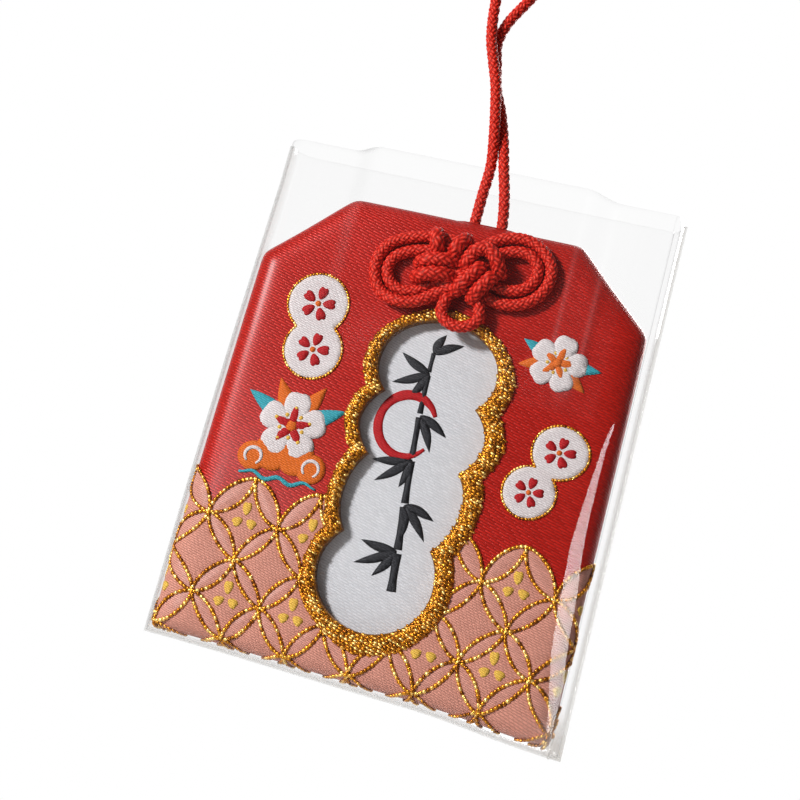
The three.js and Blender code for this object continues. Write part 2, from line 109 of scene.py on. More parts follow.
class PouchBrocade(PropertyGroup):
    """Cut, weave and colours of the brocade"""

    shoulder_run: length_setting("Shoulder run", "How far each shoulder is cut along the top edge", 11.3)
    shoulder_drop: length_setting("Shoulder drop", "How far each shoulder is cut down the side", 10.4)
    edge_roll: length_setting("Edge roll", "How far the soft edge reaches in over the face", 4.4)
    thickness: length_setting("Thickness", "Thickness of the cloth", 0.35)
    mouth_gape: length_setting("Mouth gape", "How far the cloth stands off the strands at the mouth", 1.25)
    row_pitch: length_setting("Row pitch", "Distance between rows of the satin's floats", 0.37)
    float_length: length_setting("Float length", "Length of one float of the satin", 1.5)
    row_lean: angle_setting("Row lean", "How far the rows fall towards the right", 15)
    tile_width: length_setting("Tile width", "Width of one ring of the interlaced ring pattern", 9.94)
    petal_rise: length_setting("Petal rise", "How far the band swells between its gold threads", 0.17)
    red: colour_setting("Red", "Ground of the pouch", (0.49, 0.011, 0.005))
    pink: colour_setting("Pink", "Petals of the band", (0.69, 0.31, 0.243))
    rose: colour_setting("Rose", "Ground of the band", (0.69, 0.3, 0.226))
    white: colour_setting("White", "White silk of the figures", (0.78, 0.70, 0.70))
    crimson: colour_setting("Crimson", "Red silk of the figures", (0.48, 0.014, 0.018))
    orange: colour_setting("Orange", "Orange silk of the figures", (0.78, 0.16, 0.02))
    turquoise: colour_setting("Turquoise", "Turquoise silk of the figures", (0.05, 0.38, 0.46))
    yellow: colour_setting("Yellow", "Yellow silk of the blossoms", (0.86, 0.50, 0.08))


class PouchGold(PropertyGroup):
    """Gold thread"""

    thread: length_setting("Thread", "Width of the band's gold thread", 0.66)
    border_width: length_setting("Border width", "Width of the border round the window", 3)
    border_rise: length_setting("Border rise", "How far the border stands proud of the cloth", 0.6)
    # The dark gold is painted shade in the gaps between threads, and the bright gold a painted highlight on
    # threads that catch the light.
    dark: colour_setting("Dark gold", "Gold in the gaps between threads", (0.24, 0.07, 0.002))
    gold: colour_setting("Gold", "Gold of most threads", (0.72, 0.3, 0.018))
    bright: colour_setting("Bright gold", "Gold of the threads that catch the light", (1.0, 0.73, 0.24))


class PouchCord(PropertyGroup):
    """Braided cord"""

    knot_cord: length_setting("Knot cord", "Diameter of the knot's cord", 1.8)
    strand_cord: length_setting("Strand cord", "Diameter of the strands and the hanging loop", 1.75)
    plait_pitch: length_setting("Plait pitch", "Length of cord in which one yarn goes once round", 5.8)
    yarns: IntProperty(
        name="Yarns", description="Yarns that wind each way round the cord", default=4, min=2, max=8
    )
    red: colour_setting("Red", "Colour of the yarn", (0.86, 0.02, 0.009))


class PouchInsert(PropertyGroup):
    """White satin behind the window"""

    swell: length_setting("Swell", "How far the satin swells over its board", 0.3)
    white: colour_setting("White", "Colour of the satin", (0.64, 0.64, 0.67))
    ink: colour_setting("Ink", "Colour of the brush drawing", (0.012, 0.012, 0.014))


class PouchSleeve(PropertyGroup):
    """Clear film sleeve"""

    film: length_setting("Film", "Thickness of the film", 0.2)
    weld: length_setting("Weld", "Width of the weld along the sides and foot", 0.7)
    haze: FloatProperty(
        name="Weld haze", description="Share of milky film in the weld", default=0.14, subtype="FACTOR"
    )


class PouchStage(PropertyGroup):
    """Camera, lamps and floor"""

    camera_place: place_setting("Camera", "Where the camera stands", (0.03353, -0.197, -0.10946))
    camera_aim: place_setting("Aim", "What the camera looks at", (-0.00293, -0.0015, -0.07843))
    camera_roll: angle_setting("Roll", "How far the picture leans", 14.93)
    lens: FloatProperty(name="Lens", description="Focal length in millimetres", default=63, unit="CAMERA")
    key_power: FloatProperty(
        name="Key power", description="Power of the main lamp", default=4.65, unit="POWER"
    )
    sky: FloatProperty(name="Sky", description="Level of the light from all round", default=0.14, min=0)
    floor_drop: length_setting("Floor drop", "How far the floor lies under the pouch's foot", 90)


SETTINGS = {
    "pouch_brocade": PouchBrocade,
    "pouch_gold": PouchGold,
    "pouch_cord": PouchCord,
    "pouch_insert": PouchInsert,
    "pouch_sleeve": PouchSleeve,
    "pouch_stage": PouchStage,
}


def mm(metres):
    return metres / MM


# Making a piece


def row_frame(points):
    """Points in millimetres from the middle of the pouch's foot, as metres in the row frame"""
    placed = np.array(points, float) * MM
    placed[:, 2] += FOOT_Z
    return placed


def make_piece(name, points, faces, finishes, finish_of=None, marks=None):
    """A smooth mesh from points in millimetres. marks are values kept at its points, for its finishes."""
    mesh = bpy.data.meshes.new(name)
    mesh.from_pydata(row_frame(points).tolist(), [], [list(face) for face in faces])
    for finish in finishes:
        mesh.materials.append(finish)
    if finish_of is not None:
        mesh.polygons.foreach_set("material_index", np.array(finish_of, np.int32))
    for label, values in (marks or {}).items():
        values = np.array(values, np.float32)
        flat = values.ndim == 1
        mark = mesh.attributes.new(label, "FLOAT" if flat else "FLOAT_VECTOR", "POINT")
        mark.data.foreach_set("value" if flat else "vector", values.ravel())
    mesh.polygons.foreach_set("use_smooth", np.ones(len(mesh.polygons), bool))
    mesh.update()
    made = bpy.data.objects.new(name, mesh)
    bpy.context.scene.collection.objects.link(made)
    return made


def thicken(made, thickness):
    solidify = made.modifiers.new("Thickness", "SOLIDIFY")
    solidify.thickness = thickness
    solidify.offset = -1


def ring_faces(rings, count, closed=False):
    """Faces between rings of points, and from the last ring to the first if closed"""
    faces = []
    for r in range(rings if closed else rings - 1):
        near, far = r * count, (r + 1) % rings * count
        for k in range(count):
            ahead = (k + 1) % count
            faces.append((near + k, near + ahead, far + ahead, far + k))
    return faces


def grid_faces(rows, columns):
    """Faces of a grid of points that runs row by row"""
    return [
        (near, near + 1, near + columns + 1, near + columns)
        for r in range(rows - 1)
        for near in range(r * columns, (r + 1) * columns - 1)
    ]


class Gathered:
    """Points and faces of several small shapes that make one piece"""

    def __init__(self):
        self.points = []
        self.faces = []
        self.finish_of = []
        self.marks = {}
        self.count = 0

    def add(self, points, faces, finish=0, **marks):
        self.faces.extend([corner + self.count for corner in face] for face in faces)
        self.finish_of.extend([finish] * len(faces))
        self.points.append(points)
        self.count += len(points)
        for label, values in marks.items():
            self.marks.setdefault(label, []).append(values)

    def piece(self, name, finishes, slot=None):
        marks = {label: np.concatenate(values) for label, values in self.marks.items()}
        points = np.concatenate(self.points)
        return make_piece(name, points, self.faces, finishes, self.finish_of, marks)


# Lines and directions


def unit(vectors):
    """Each row of vectors at a length of 1"""
    return vectors / norm(vectors, axis=1)[:, None]


def travelled(line):
    """How far along a line each of its points lies"""
    return np.concatenate([[0], np.cumsum(norm(np.diff(line, axis=0), axis=1))])


def at_stops(line, stops):
    """Points that lie as far along a line as the stops say"""
    run = travelled(line)
    return np.column_stack([np.interp(stops, run, part) for part in line.T])


def headed(heading):
    """Directions along a heading in radians and to its left"""
    along = np.array([math.cos(heading), math.sin(heading)])
    return along, np.array([-along[1], along[0]])


def towards(x, z, heading, reach):
    """The place that lies a reach away along a heading in radians"""
    return x + reach * math.cos(heading), z + reach * math.sin(heading)


# The cloth, laid out flat. A place on it is (x, z) in millimetres as seen on the face,
# and carries on round the soft edge to the seam at the cloth's true length.


def outline_corners(inset):
    """Corners of the pouch's outline, drawn in by inset, from the left foot round to the left shoulder"""
    brocade = bpy.context.scene.pouch_brocade
    run = mm(brocade.shoulder_run)
    drop = mm(brocade.shoulder_drop)
    reach = drop * (HALF_WIDTH - run) + run * HEIGHT - inset * math.hypot(run, drop)
    side = HALF_WIDTH - inset
    top = HEIGHT - inset
    low = (side, (reach - drop * side) / run)
    high = ((reach - run * top) / drop, top)
    return np.array([(-side, inset), (side, inset), low, high, (-high[0], top), (-side, low[1])])


SHARP_CORNER = 14  # how sharp the sewn corners stay: 2 is a round corner
FULL_EDGE = 2.7  # how full the soft edge is: 2 is a round edge


def edge_arc(roll):
    """Length along the soft edge from the flat to the seam, as a table against the angle turned"""
    turn = np.linspace(0, math.pi / 2, 400)
    out = roll * np.sin(turn) ** (2 / FULL_EDGE)
    depth = HALF_DEPTH * np.abs(np.cos(turn)) ** (2 / FULL_EDGE)
    return turn, np.concatenate([[0], np.cumsum(np.hypot(np.diff(out), np.diff(depth)))])


def outward(start, end):
    """The way out of the outline, across its edge from start to end"""
    edge = end - start
    return np.array([edge[1], -edge[0]]) / norm(edge)


def past_flat(places):
    """How far each place lies past the flat of the face, and the nearest place on that flat"""
    roll = mm(bpy.context.scene.pouch_brocade.edge_roll)
    corners = outline_corners(roll)
    closest = np.full(len(places), np.inf)
    nearest = places.copy()
    beyond = []
    for start, end in zip(corners, np.roll(corners, -1, axis=0)):
        edge = end - start
        share = np.clip((places - start) @ edge / (edge @ edge), 0, 1)
        near = start + share[:, None] * edge
        gap = norm(places - near, axis=1)
        closer = gap < closest
        closest[closer] = gap[closer]
        nearest[closer] = near[closer]
        beyond.append(np.maximum(0, (places - start) @ outward(start, end)))
    beyond = np.array(beyond)
    inside = beyond.max(axis=0) <= 0
    nearest[inside] = places[inside]
    return (beyond**SHARP_CORNER).sum(axis=0) ** (1 / SHARP_CORNER), nearest


RIPPLE_HEIGHT = 0.045
# Each wave's turn in radians for a millimetre to the right and for one up, its start and its share
RIPPLES = [(0.21, 0.13, 1, 1), (-0.16, 0.27, 2.2, 1), (0.43, -0.31, 0.7, 0.6)]


def ripple(places):
    """Faint waves of sewn cloth"""
    x, z = places.T
    return RIPPLE_HEIGHT * sum(share * np.sin(a * x + b * z + start) for a, b, start, share in RIPPLES)


RING_COLUMNS = range(-3, 4)
# Heights of the rows of rings, from under the foot up to the tips of the taller top row
RING_ROWS = np.arange(-5, 2) / 2
RING_HEIGHTS = np.array([-9.9, -4.5, 1.1, 6.9, 12.5, 18.3, 24.4])
RING_POWER, TOP_RING_POWER = 1.55, 1.75  # how full the rings are: 2 is a true ring
RING_TAPER = 0.005  # share of a ring's width that is lost for each millimetre towards the foot
SWELL_START = 0.6  # how far from a gold thread the band has most of its swell


def ring_width(heights):
    """Width of a ring, which is drawn in a little towards the foot"""
    drawn_in = RING_TAPER * np.maximum(0, RING_HEIGHTS[4] - heights)
    return mm(bpy.context.scene.pouch_brocade.tile_width) * (1 - drawn_in)


def ring_pattern(places):
    """How far out each place lies in its ring of both sets of rings, where 1 is on the gold thread"""
    across = places[:, 0] / ring_width(places[:, 1])
    up = np.interp(places[:, 1], RING_HEIGHTS, RING_ROWS)
    power = np.where(up < 0, RING_POWER, TOP_RING_POWER)

    def out(shift):
        u = np.abs((across + shift + 0.5) % 1 - 0.5)
        v = np.abs((up + shift + 0.5) % 1 - 0.5)
        return 2 * (u**power + v**power) ** (1 / power)

    return out(0), out(0.5)


def in_band(places):
    first, _ = ring_pattern(places)
    return (places[:, 1] < RING_HEIGHTS[-2]) | ((places[:, 1] < RING_HEIGHTS[-1]) & (first < 1))


def thread_gap(places):
    """How far each place lies from the nearest gold thread of the band, as a share of half a ring"""
    first, second = ring_pattern(places)
    return np.minimum(np.abs(first - 1), np.abs(second - 1))


def band_swell(places):
    """How far the band stands up between its gold threads"""
    brocade = bpy.context.scene.pouch_brocade
    gap = thread_gap(places) * (mm(brocade.tile_width) / 2)
    return np.where(in_band(places), mm(brocade.petal_rise) * (1 - np.exp(-((gap / SWELL_START) ** 2))), 0)


def eased(start, end, value):
    """0 at the start, 1 at the end, and a soft step between them"""
    share = np.clip((value - start) / (end - start), 0, 1)
    return share * share * (3 - 2 * share)


# How far the cloth leaves its drawn outline, and where across or up the pouch that starts.
RIGHT_BULGE, BULGE_START = 0.7, 20
LEFT_SPREAD, SPREAD_START = 1.1, -21
TOP_RISE, TOP_RISE_START = 0.7, 56
FOOT_RISE, FOOT_RISE_START = 0.7, 12
FOOT_SAG, FOOT_SAG_START, FOOT_SAG_END = 1.4, 8, HALF_WIDTH + 2
FOOT_LOW, FOOT_HIGH = -0.5, 2.5  # heights between which the foot's rise and sag fade away


def askew(points):
    """Lets the soft pouch bulge at its right edge, spread at its left foot and sag at its right one"""
    x, z = points[:, 0].copy(), points[:, 2].copy()
    points[:, 0] += RIGHT_BULGE * eased(BULGE_START, HALF_WIDTH, x)
    points[:, 0] -= LEFT_SPREAD * eased(SPREAD_START, -HALF_WIDTH, x) * (1 - np.clip(z / HEIGHT, 0, 1) ** 2)
    foot = FOOT_RISE * eased(FOOT_RISE_START, -HALF_WIDTH, x)
    foot -= FOOT_SAG * eased(FOOT_SAG_START, FOOT_SAG_END, x)
    points[:, 2] += foot * (1 - eased(FOOT_LOW, FOOT_HIGH, z)) + TOP_RISE * eased(TOP_RISE_START, HEIGHT, z)
    return points


# The mouth: its ends, how far each eases shut, and how far under the top edge it starts and is full
MOUTH_LEFT, MOUTH_RIGHT, MOUTH_EASE = -0.3, 6.0, 2.6
MOUTH_START, MOUTH_FULL = 3, 0.3


def on_cloth(places, side, lift=0.0):
    """Points on the sewn cloth, and the way that it faces there"""
    brocade = bpy.context.scene.pouch_brocade
    roll = mm(brocade.edge_roll)
    past, nearest = past_flat(places)
    turns, arcs = edge_arc(roll)
    turn = np.interp(past, arcs, turns)
    way = (places - nearest) / np.maximum(past, 1e-9)[:, None]
    out, fall = np.sin(turn) ** (2 / FULL_EDGE), np.abs(np.cos(turn)) ** (2 / FULL_EDGE)
    flat = nearest + way * (roll * out)[:, None]
    gape_x = eased(MOUTH_LEFT - MOUTH_EASE, MOUTH_LEFT, flat[:, 0])
    gape_x *= 1 - eased(MOUTH_RIGHT, MOUTH_RIGHT + MOUTH_EASE, flat[:, 0])
    gape = mm(brocade.mouth_gape) * gape_x * eased(HEIGHT - MOUTH_START, HEIGHT - MOUTH_FULL, flat[:, 1])
    depth = np.maximum(HALF_DEPTH * fall, gape)
    facing = np.empty((len(places), 3))
    facing[:, [0, 2]] = way * (out ** (FULL_EDGE - 1) / roll)[:, None]
    facing[:, 1] = side * fall ** (FULL_EDGE - 1) / HALF_DEPTH + side * 1e-6
    facing = unit(facing)
    points = np.column_stack([flat[:, 0], side * depth, flat[:, 1]])
    swell = (ripple(places) + band_swell(places)) * np.cos(turn)
    return askew(points + facing * (swell + lift)[:, None]), facing


CORNER_LENGTH = 1.2  # length of a line round a corner, for each millimetre past the flat
FLAT_CORNER = 0.2  # nearer to the flat than this, a line has one place at each corner


def rim_places(past, spacing):
    """A closed line of places that all lie as far past the flat of the face"""
    corners = outline_corners(mm(bpy.context.scene.pouch_brocade.edge_roll))
    line = []
    for start, end, after in zip(corners, np.roll(corners, -1, axis=0), np.roll(corners, -2, axis=0)):
        out, turned = outward(start, end), outward(end, after)
        steps = max(2, round(norm(end - start) / spacing))
        line.extend(start + (end - start) * k / steps + out * past for k in range(steps))
        bends = max(2, round(past * CORNER_LENGTH / spacing)) if past > FLAT_CORNER else 1
        for quarter in np.arange(bends) / bends * math.pi / 2:
            way = out * math.cos(quarter) + turned * math.sin(quarter)
            reach = ((way @ out) ** SHARP_CORNER + (way @ turned) ** SHARP_CORNER) ** (1 / SHARP_CORNER)
            line.append(end + way / reach * past)
    return np.array(line)


# Window


LOBES = 4
BORDER_WIDTH_CAD = 3
WINDOW_HALF_WIDTH = (BORDER_HIGH.x - BORDER_LOW.x) / MM / 2 - BORDER_WIDTH_CAD
WINDOW_X = (BORDER_HIGH.x + BORDER_LOW.x) / MM / 2
WINDOW_FOOT = (BORDER_LOW.z - FOOT_Z) / MM + BORDER_WIDTH_CAD
TOP_RISE_AT_WINDOW = 0.6  # how much higher the border's slim top lets the window reach
WINDOW_TOP = (BORDER_HIGH.z - FOOT_Z) / MM - BORDER_WIDTH_CAD + TOP_RISE_AT_WINDOW
LOBE_STRETCHES = np.array([1.1, 1.11, 1.2, 1.13])  # how much wider than tall each lobe is
LOBE_RADIUS = WINDOW_HALF_WIDTH / LOBE_STRETCHES[0]
LOBE_HEIGHTS = np.linspace(WINDOW_FOOT + LOBE_RADIUS, WINDOW_TOP - LOBE_RADIUS, LOBES)
EVEN_CUSPS = (LOBE_HEIGHTS[1:] + LOBE_HEIGHTS[:-1]) / 2
CUSP_RISES = np.array([0.5, 1.85, 1.2])  # how much higher the real cusps lie than those of even lobes
FAR = 20  # past the window's ends by more than any border
WINDOW_ENDS = WINDOW_FOOT - FAR, WINDOW_FOOT, WINDOW_TOP, WINDOW_TOP + FAR
EVEN_HEIGHTS = np.concatenate([WINDOW_ENDS[:2], EVEN_CUSPS, WINDOW_ENDS[2:]])
REAL_HEIGHTS = np.concatenate([WINDOW_ENDS[:2], EVEN_CUSPS + CUSP_RISES, WINDOW_ENDS[2:]])
LOWEST_LOBE_SHIFT = 1.2  # how far left of the upper lobes the lowest one lies
SHIFT_FADE = 6  # how far under the lowest cusp that shift starts to fade
LEFT_THINNING, RIGHT_THINNING, TOP_THINNING = 0.8, 0.26, 0.75  # how much narrower the border is there


def window_middle(heights):
    """Where the window's leaning middle line lies at each height"""
    lowest, second = REAL_HEIGHTS[2:4]
    return WINDOW_X - LOWEST_LOBE_SHIFT * (1 - eased(lowest - SHIFT_FADE, second, heights))


def window_stretch(even_heights):
    """How much wider than a round one the window is at each height, as on even lobes"""
    return np.interp(even_heights, LOBE_HEIGHTS, LOBE_STRETCHES)


def border_thinning(way_x, way_z, on_top):
    """How many times narrower the border is, by the way that it lies from its lobe's middle"""
    side = LEFT_THINNING * np.maximum(0, -way_x) + RIGHT_THINNING * np.maximum(0, way_x)
    return 1 + side + TOP_THINNING * np.maximum(0, way_z) * on_top


def window_growth(places):
    """How far outside the window's edge each place lies, counted as on an even border"""
    even = np.interp(places[:, 1], REAL_HEIGHTS, EVEN_HEIGHTS)
    across = (places[:, 0] - window_middle(places[:, 1])) / window_stretch(even)
    rises = even - LOBE_HEIGHTS[:, None]
    gaps = np.hypot(across, rises)
    nearest = gaps.argmin(axis=0)
    gap = np.maximum(gaps.min(axis=0), 1e-9)
    rise = np.take_along_axis(rises, nearest[None], axis=0)[0]
    growth = gap - LOBE_RADIUS
    thinning = border_thinning(across / gap, rise / gap, nearest == LOBES - 1)
    return np.where(growth > 0, growth * thinning, growth)


def window_line(growth, steps):
    """The window's lobed edge, grown outwards, with as many places on each lobe for any growth"""
    half_pitch = (LOBE_HEIGHTS[1] - LOBE_HEIGHTS[0]) / 2
    line = []

    def reach(turn, i):
        if growth <= 0:
            return LOBE_RADIUS + growth
        return LOBE_RADIUS + growth / border_thinning(math.cos(turn), math.sin(turn), i == LOBES - 1)

    def meeting(level, way):
        """The angle from level where lobes meet, closed in on by repeated tries"""
        turn = 0.5
        for _ in range(12):
            turn = math.asin(half_pitch / reach(level + way * turn, 0))
        return turn

    def lobe(i, start, end):
        for k in range(steps):
            turn = start + (end - start) * k / steps
            even = LOBE_HEIGHTS[i] + reach(turn, i) * math.sin(turn)
            z = np.interp(even, EVEN_HEIGHTS, REAL_HEIGHTS)
            line.append((window_middle(z) + window_stretch(even) * reach(turn, i) * math.cos(turn), z))

    right, left = meeting(0, 1), meeting(math.pi, -1)
    for i in range(LOBES - 1):
        lobe(i, -math.pi / 2 if i == 0 else -right, right)
    lobe(LOBES - 1, -right, math.pi / 2)
    lobe(LOBES - 1, math.pi / 2, math.pi + left)
    for i in range(LOBES - 2, -1, -1):
        lobe(i, math.pi - left, math.pi * 1.5 if i == 0 else math.pi + left)
    return np.array(line)


# Cutting flat shapes out of cloth


def cut_mesh(places, edges):
    """Triangles over all the places, with the given edges kept"""
    corners = [Vector(place) for place in places]
    found, _, faces, *_ = delaunay_2d_cdt(corners, edges, [], 0, 1e-5, False)
    return np.array([tuple(corner) for corner in found]), np.array(faces)


def ring_edges(start, count):
    """Edges of a closed line of places, numbered from start"""
    return [(start + k, start + (k + 1) % count) for k in range(count)]


def inside_line(places, line):
    """True for each place inside the closed line"""
    x, z = places.T
    inside = np.zeros(len(places), bool)
    for (x0, z0), (x1, z1) in zip(line, np.roll(line, -1, axis=0)):
        crosses = (z0 > z) != (z1 > z)
        rise = z1 - z0 if z1 != z0 else 1e-12
        inside ^= crosses & (x < (x1 - x0) * (z - z0) / rise + x0)
    return inside


def gap_to_line(places, line):
    """Distance from each place to the closed line"""
    gap = np.full(len(places), np.inf)
    for start, end in zip(line, np.roll(line, -1, axis=0)):
        edge = end - start
        share = np.clip((places - start) @ edge / max(edge @ edge, 1e-12), 0, 1)
        gap = np.minimum(gap, norm(places - start - share[:, None] * edge, axis=1))
    return gap


def spaced(low, high, step):
    """A grid of places from the low corner to the high one"""
    return np.mgrid[low[0] : high[0] : step, low[1] : high[1] : step].reshape(2, -1).T


def only_used(places, faces):
    """The places that faces use, and the faces numbered to match"""
    used = np.unique(faces)
    order = np.full(len(places), -1)
    order[used] = np.arange(len(used))
    return places[used], order[faces]


PATCH_SINK = 0.12  # how far a sewn figure's underside goes into what carries it
PATCH_EDGE = 0.6  # height of a sewn figure's edge, as a share of its full height
PATCH_MARGIN = 0.45  # how near its edge a figure's inner places come, as a share of their spacing


def add_patch(gathered, line, lift, carrier, finish=0, spacing=0.6, soft_edge=0.3):
    """A raised figure with a soft edge, cut to the closed line and laid on its carrier"""
    low, high = line.min(axis=0), line.max(axis=0)
    grid = spaced(low, high, spacing)
    grid = grid[inside_line(grid, line)]
    grid = grid[gap_to_line(grid, line) > spacing * PATCH_MARGIN] if len(grid) else grid
    places, faces = cut_mesh(np.concatenate([line, grid]), ring_edges(0, len(line)))
    places, faces = only_used(places, faces[inside_line(places[faces].mean(axis=1), line)])
    share = np.clip(gap_to_line(places, line) / soft_edge, 0, 1)
    rounded = PATCH_EDGE + (1 - PATCH_EDGE) * np.sqrt(np.maximum(0, 1 - (1 - share) ** 2))
    top, _ = carrier(places, lift * rounded)
    under, _ = carrier(places, -PATCH_SINK)
    count = len(places)
    seen = dict.fromkeys((p, q) for a, b, c in faces for p, q in ((a, b), (b, c), (c, a)))
    sides = [(q, p, p + count, q + count) for p, q in seen if (q, p) not in seen]
    shell = [tuple(face) for face in faces] + [tuple(face[::-1] + count) for face in faces] + sides
    cloth = np.column_stack([places, np.zeros(count)])
    gathered.add(np.concatenate([top, under]), shell, finish, cloth=np.concatenate([cloth, cloth]))


def disc(x, z, radius, count=28):
    """A round outline"""
    turn = np.arange(count) / count * 2 * math.pi
    return np.column_stack([x + radius * np.cos(turn), z + radius * np.sin(turn)])


LEAF_WIDEST = 0.8  # less moves a leaf's widest place towards its root
LEAF_THINNESS = 0.9  # more makes a leaf thinner towards its ends


def leaf(x, z, heading, length, width, count=14, bend=0.0):
    """A pointed leaf from (x, z), along heading in radians"""
    share = np.linspace(0, 1, count)
    half = width / 2 * np.sin(math.pi * share**LEAF_WIDEST) ** LEAF_THINNESS
    middle = bend * np.sin(math.pi * share)
    along, across = headed(heading)
    left = (share * length)[:, None] * along + (middle + half)[:, None] * across
    right = (share * length)[:, None] * along + (middle - half)[:, None] * across
    return np.array([x, z]) + np.concatenate([right, left[-2:0:-1]])


PETAL_MIDDLE = 0.52  # how far out a petal's middle lies, as a share of its reach
PETAL_ROOT = 0.55  # how much of its width a petal keeps towards its root
NOTCH_SPREAD = 0.12


def round_petal(x, z, heading, reach, width, count=22, notch=0.12):
    """A petal with a notched round tip, whose root is at (x, z)"""
    turn = np.arange(count) / count * 2 * math.pi
    swell = 1 - notch * np.exp(-((np.mod(turn + math.pi, 2 * math.pi) - math.pi) ** 2) / NOTCH_SPREAD)
    out = reach * (PETAL_MIDDLE + (1 - PETAL_MIDDLE) * np.cos(turn) * swell)
    side = width / 2 * np.sin(turn) * (PETAL_ROOT + (1 - PETAL_ROOT) * (out / reach))
    along, across = headed(heading)
    return np.array([x, z]) + out[:, None] * along + side[:, None] * across


BRUSH_STEP = 0.35


def brush(route, widths):
    """A brush stroke along a route, with widths spread evenly from its start to its end"""
    route = np.array(route, float)
    upright = np.column_stack([route[:, 0], np.zeros(len(route)), route[:, 1]])
    line = smooth_route(upright, BRUSH_STEP)[:, [0, 2]]
    share = np.linspace(0, 1, len(line))
    half = np.interp(share, np.linspace(0, 1, len(widths)), widths) / 2
    way = unit(np.gradient(line, axis=0))
    across = np.column_stack([-way[:, 1], way[:, 0]])
    return np.concatenate([line - across * half[:, None], (line + across * half[:, None])[::-1]])


def twin_disc(first, second):
    """The outline of two discs that overlap, each given as (x, z, radius)"""

    def outside(line, x, z, radius):
        return line[np.hypot(line[:, 0] - x, line[:, 1] - z) > radius]

    one = outside(disc(*first, 64), *second)
    other = outside(disc(*second, 64), *first)
    apart = np.array(second[:2]) - np.array(first[:2])
    reach = norm(apart)
    chord = (reach**2 + first[2] ** 2 - second[2] ** 2) / (2 * reach)
    waist = np.array(first[:2]) + apart * chord / reach
    line = np.concatenate([one, other])
    turn = np.arctan2(line[:, 1] - waist[1], line[:, 0] - waist[0])
    return line[np.argsort(turn)]


# Stitches


STITCH_BODY = 0.86  # share of a stitch's length between its pointed ends


def stitch_shape(stations=4, sides=6):
    """A plump stitch with closed ends, one unit long to each side along X"""
    shares = np.linspace(-STITCH_BODY, STITCH_BODY, stations)
    girth = np.sqrt(1 - np.abs(shares) ** 3)
    points = [(-1, 0, 0)]
    for share, wide in zip(shares, girth):
        for k in range(sides):
            turn = 2 * math.pi * k / sides
            points.append((share, wide * math.cos(turn), wide * math.sin(turn)))
    points.append((1, 0, 0))
    faces = [[1 + corner for corner in face] for face in ring_faces(stations, sides)]
    tail = 1 + (stations - 1) * sides
    for k in range(sides):
        after = (k + 1) % sides
        faces += [(0, 1 + after, 1 + k), (tail + k, tail + after, len(points) - 1)]
    return np.array(points), faces


def add_stitches(gathered, centres, alongs, ups, sizes, dice, finish=0):
    """Stitches of half sizes (length, width, height), each with its own glint"""
    shape, faces = stitch_shape()
    alongs = unit(alongs - ups * (alongs * ups).sum(axis=1)[:, None])
    across = np.cross(ups, alongs)
    glints = dice.random(len(centres))
    for i, centre in enumerate(centres):
        spread = shape * sizes[i]
        points = centre + spread[:, :1] * alongs[i] + spread[:, 1:2] * across[i] + spread[:, 2:] * ups[i]
        gathered.add(points, faces, finish, glint=np.full(len(points), glints[i]))


def stitch_sizes(dice, count, *ranges):
    """Lengths, widths and heights for as many stitches, each drawn from its own range"""
    return np.column_stack([dice.uniform(*each, count) for each in ranges])


def tilted(directions, ups, dice, spread):
    """Directions with a small turn of their own towards or away from the cloth"""
    return directions + ups * dice.normal(0, spread, len(directions))[:, None]


LOOK_AHEAD = 0.05  # how far ahead and back a line's way is measured


def walked(line, step):
    """Places an even step apart along a closed line, with the way that the line runs there"""
    ring = np.concatenate([line, line[:1]])
    length = travelled(ring)[-1]
    count = max(2, round(length / step))
    stops = (np.arange(count) + 0.5) / count * length
    ways = at_stops(ring, stops + LOOK_AHEAD) - at_stops(ring, stops - LOOK_AHEAD)
    return at_stops(ring, stops), unit(ways)


# Half lengths, widths and heights of a thread's stitches, and how high they lie, as shares of its width
THREAD_LENGTHS, THREAD_WIDTHS, THREAD_HEIGHTS = (0.52, 0.66), (0.4, 0.52), (0.28, 0.38)
THREAD_LIFT = 0.22
THREAD_TILT = 0.12
THREAD_AHEAD = 0.15  # how far ahead the cloth is felt for, to lay a stitch on it


def add_thread(gathered, places, ways, side, width, dice):
    """Gold thread couched on the cloth: one plump stitch at each place"""
    if not len(places):
        return
    lift = width * THREAD_LIFT
    points, facing = on_cloth(places, side, lift)
    ahead, _ = on_cloth(places + ways * THREAD_AHEAD, side, lift)
    alongs = tilted(unit(ahead - points), facing, dice, THREAD_TILT)
    sizes = stitch_sizes(dice, len(points), THREAD_LENGTHS, THREAD_WIDTHS, THREAD_HEIGHTS) * width
    add_stitches(gathered, points, alongs, facing, sizes, dice)


# Cord


CURVE_STEPS = 24  # steps of the curve from one given point to the next


def curve_between(points):
    """Points on the centripetal curve through four points, from the second of them up to the third"""
    knots = np.concatenate([[0], np.cumsum(norm(np.diff(points, axis=0), axis=1) ** 0.5)])
    now = np.linspace(knots[1], knots[2], CURVE_STEPS, endpoint=False)[:, None]

    def carried(first, second, i, j):
        return (first * (knots[j] - now) + second * (now - knots[i])) / (knots[j] - knots[i])

    near, middle, far = (carried(points[i], points[i + 1], i, i + 1) for i in range(3))
    return carried(carried(near, middle, 0, 2), carried(middle, far, 1, 3), 1, 2)


def smooth_route(points, step):
    """Points an even step apart on a centripetal curve through the given points"""
    before, after = 2 * points[0] - points[1], 2 * points[-1] - points[-2]
    if np.allclose(points[0], points[-1]):
        before, after = points[-2], points[1]
    padded = np.concatenate([[before], points, [after]])
    dense = np.concatenate([*(curve_between(padded[k : k + 4]) for k in range(len(points) - 1)), points[-1:]])
    length = travelled(dense)[-1]
    return at_stops(dense, np.linspace(0, length, max(3, round(length / step) + 1)))


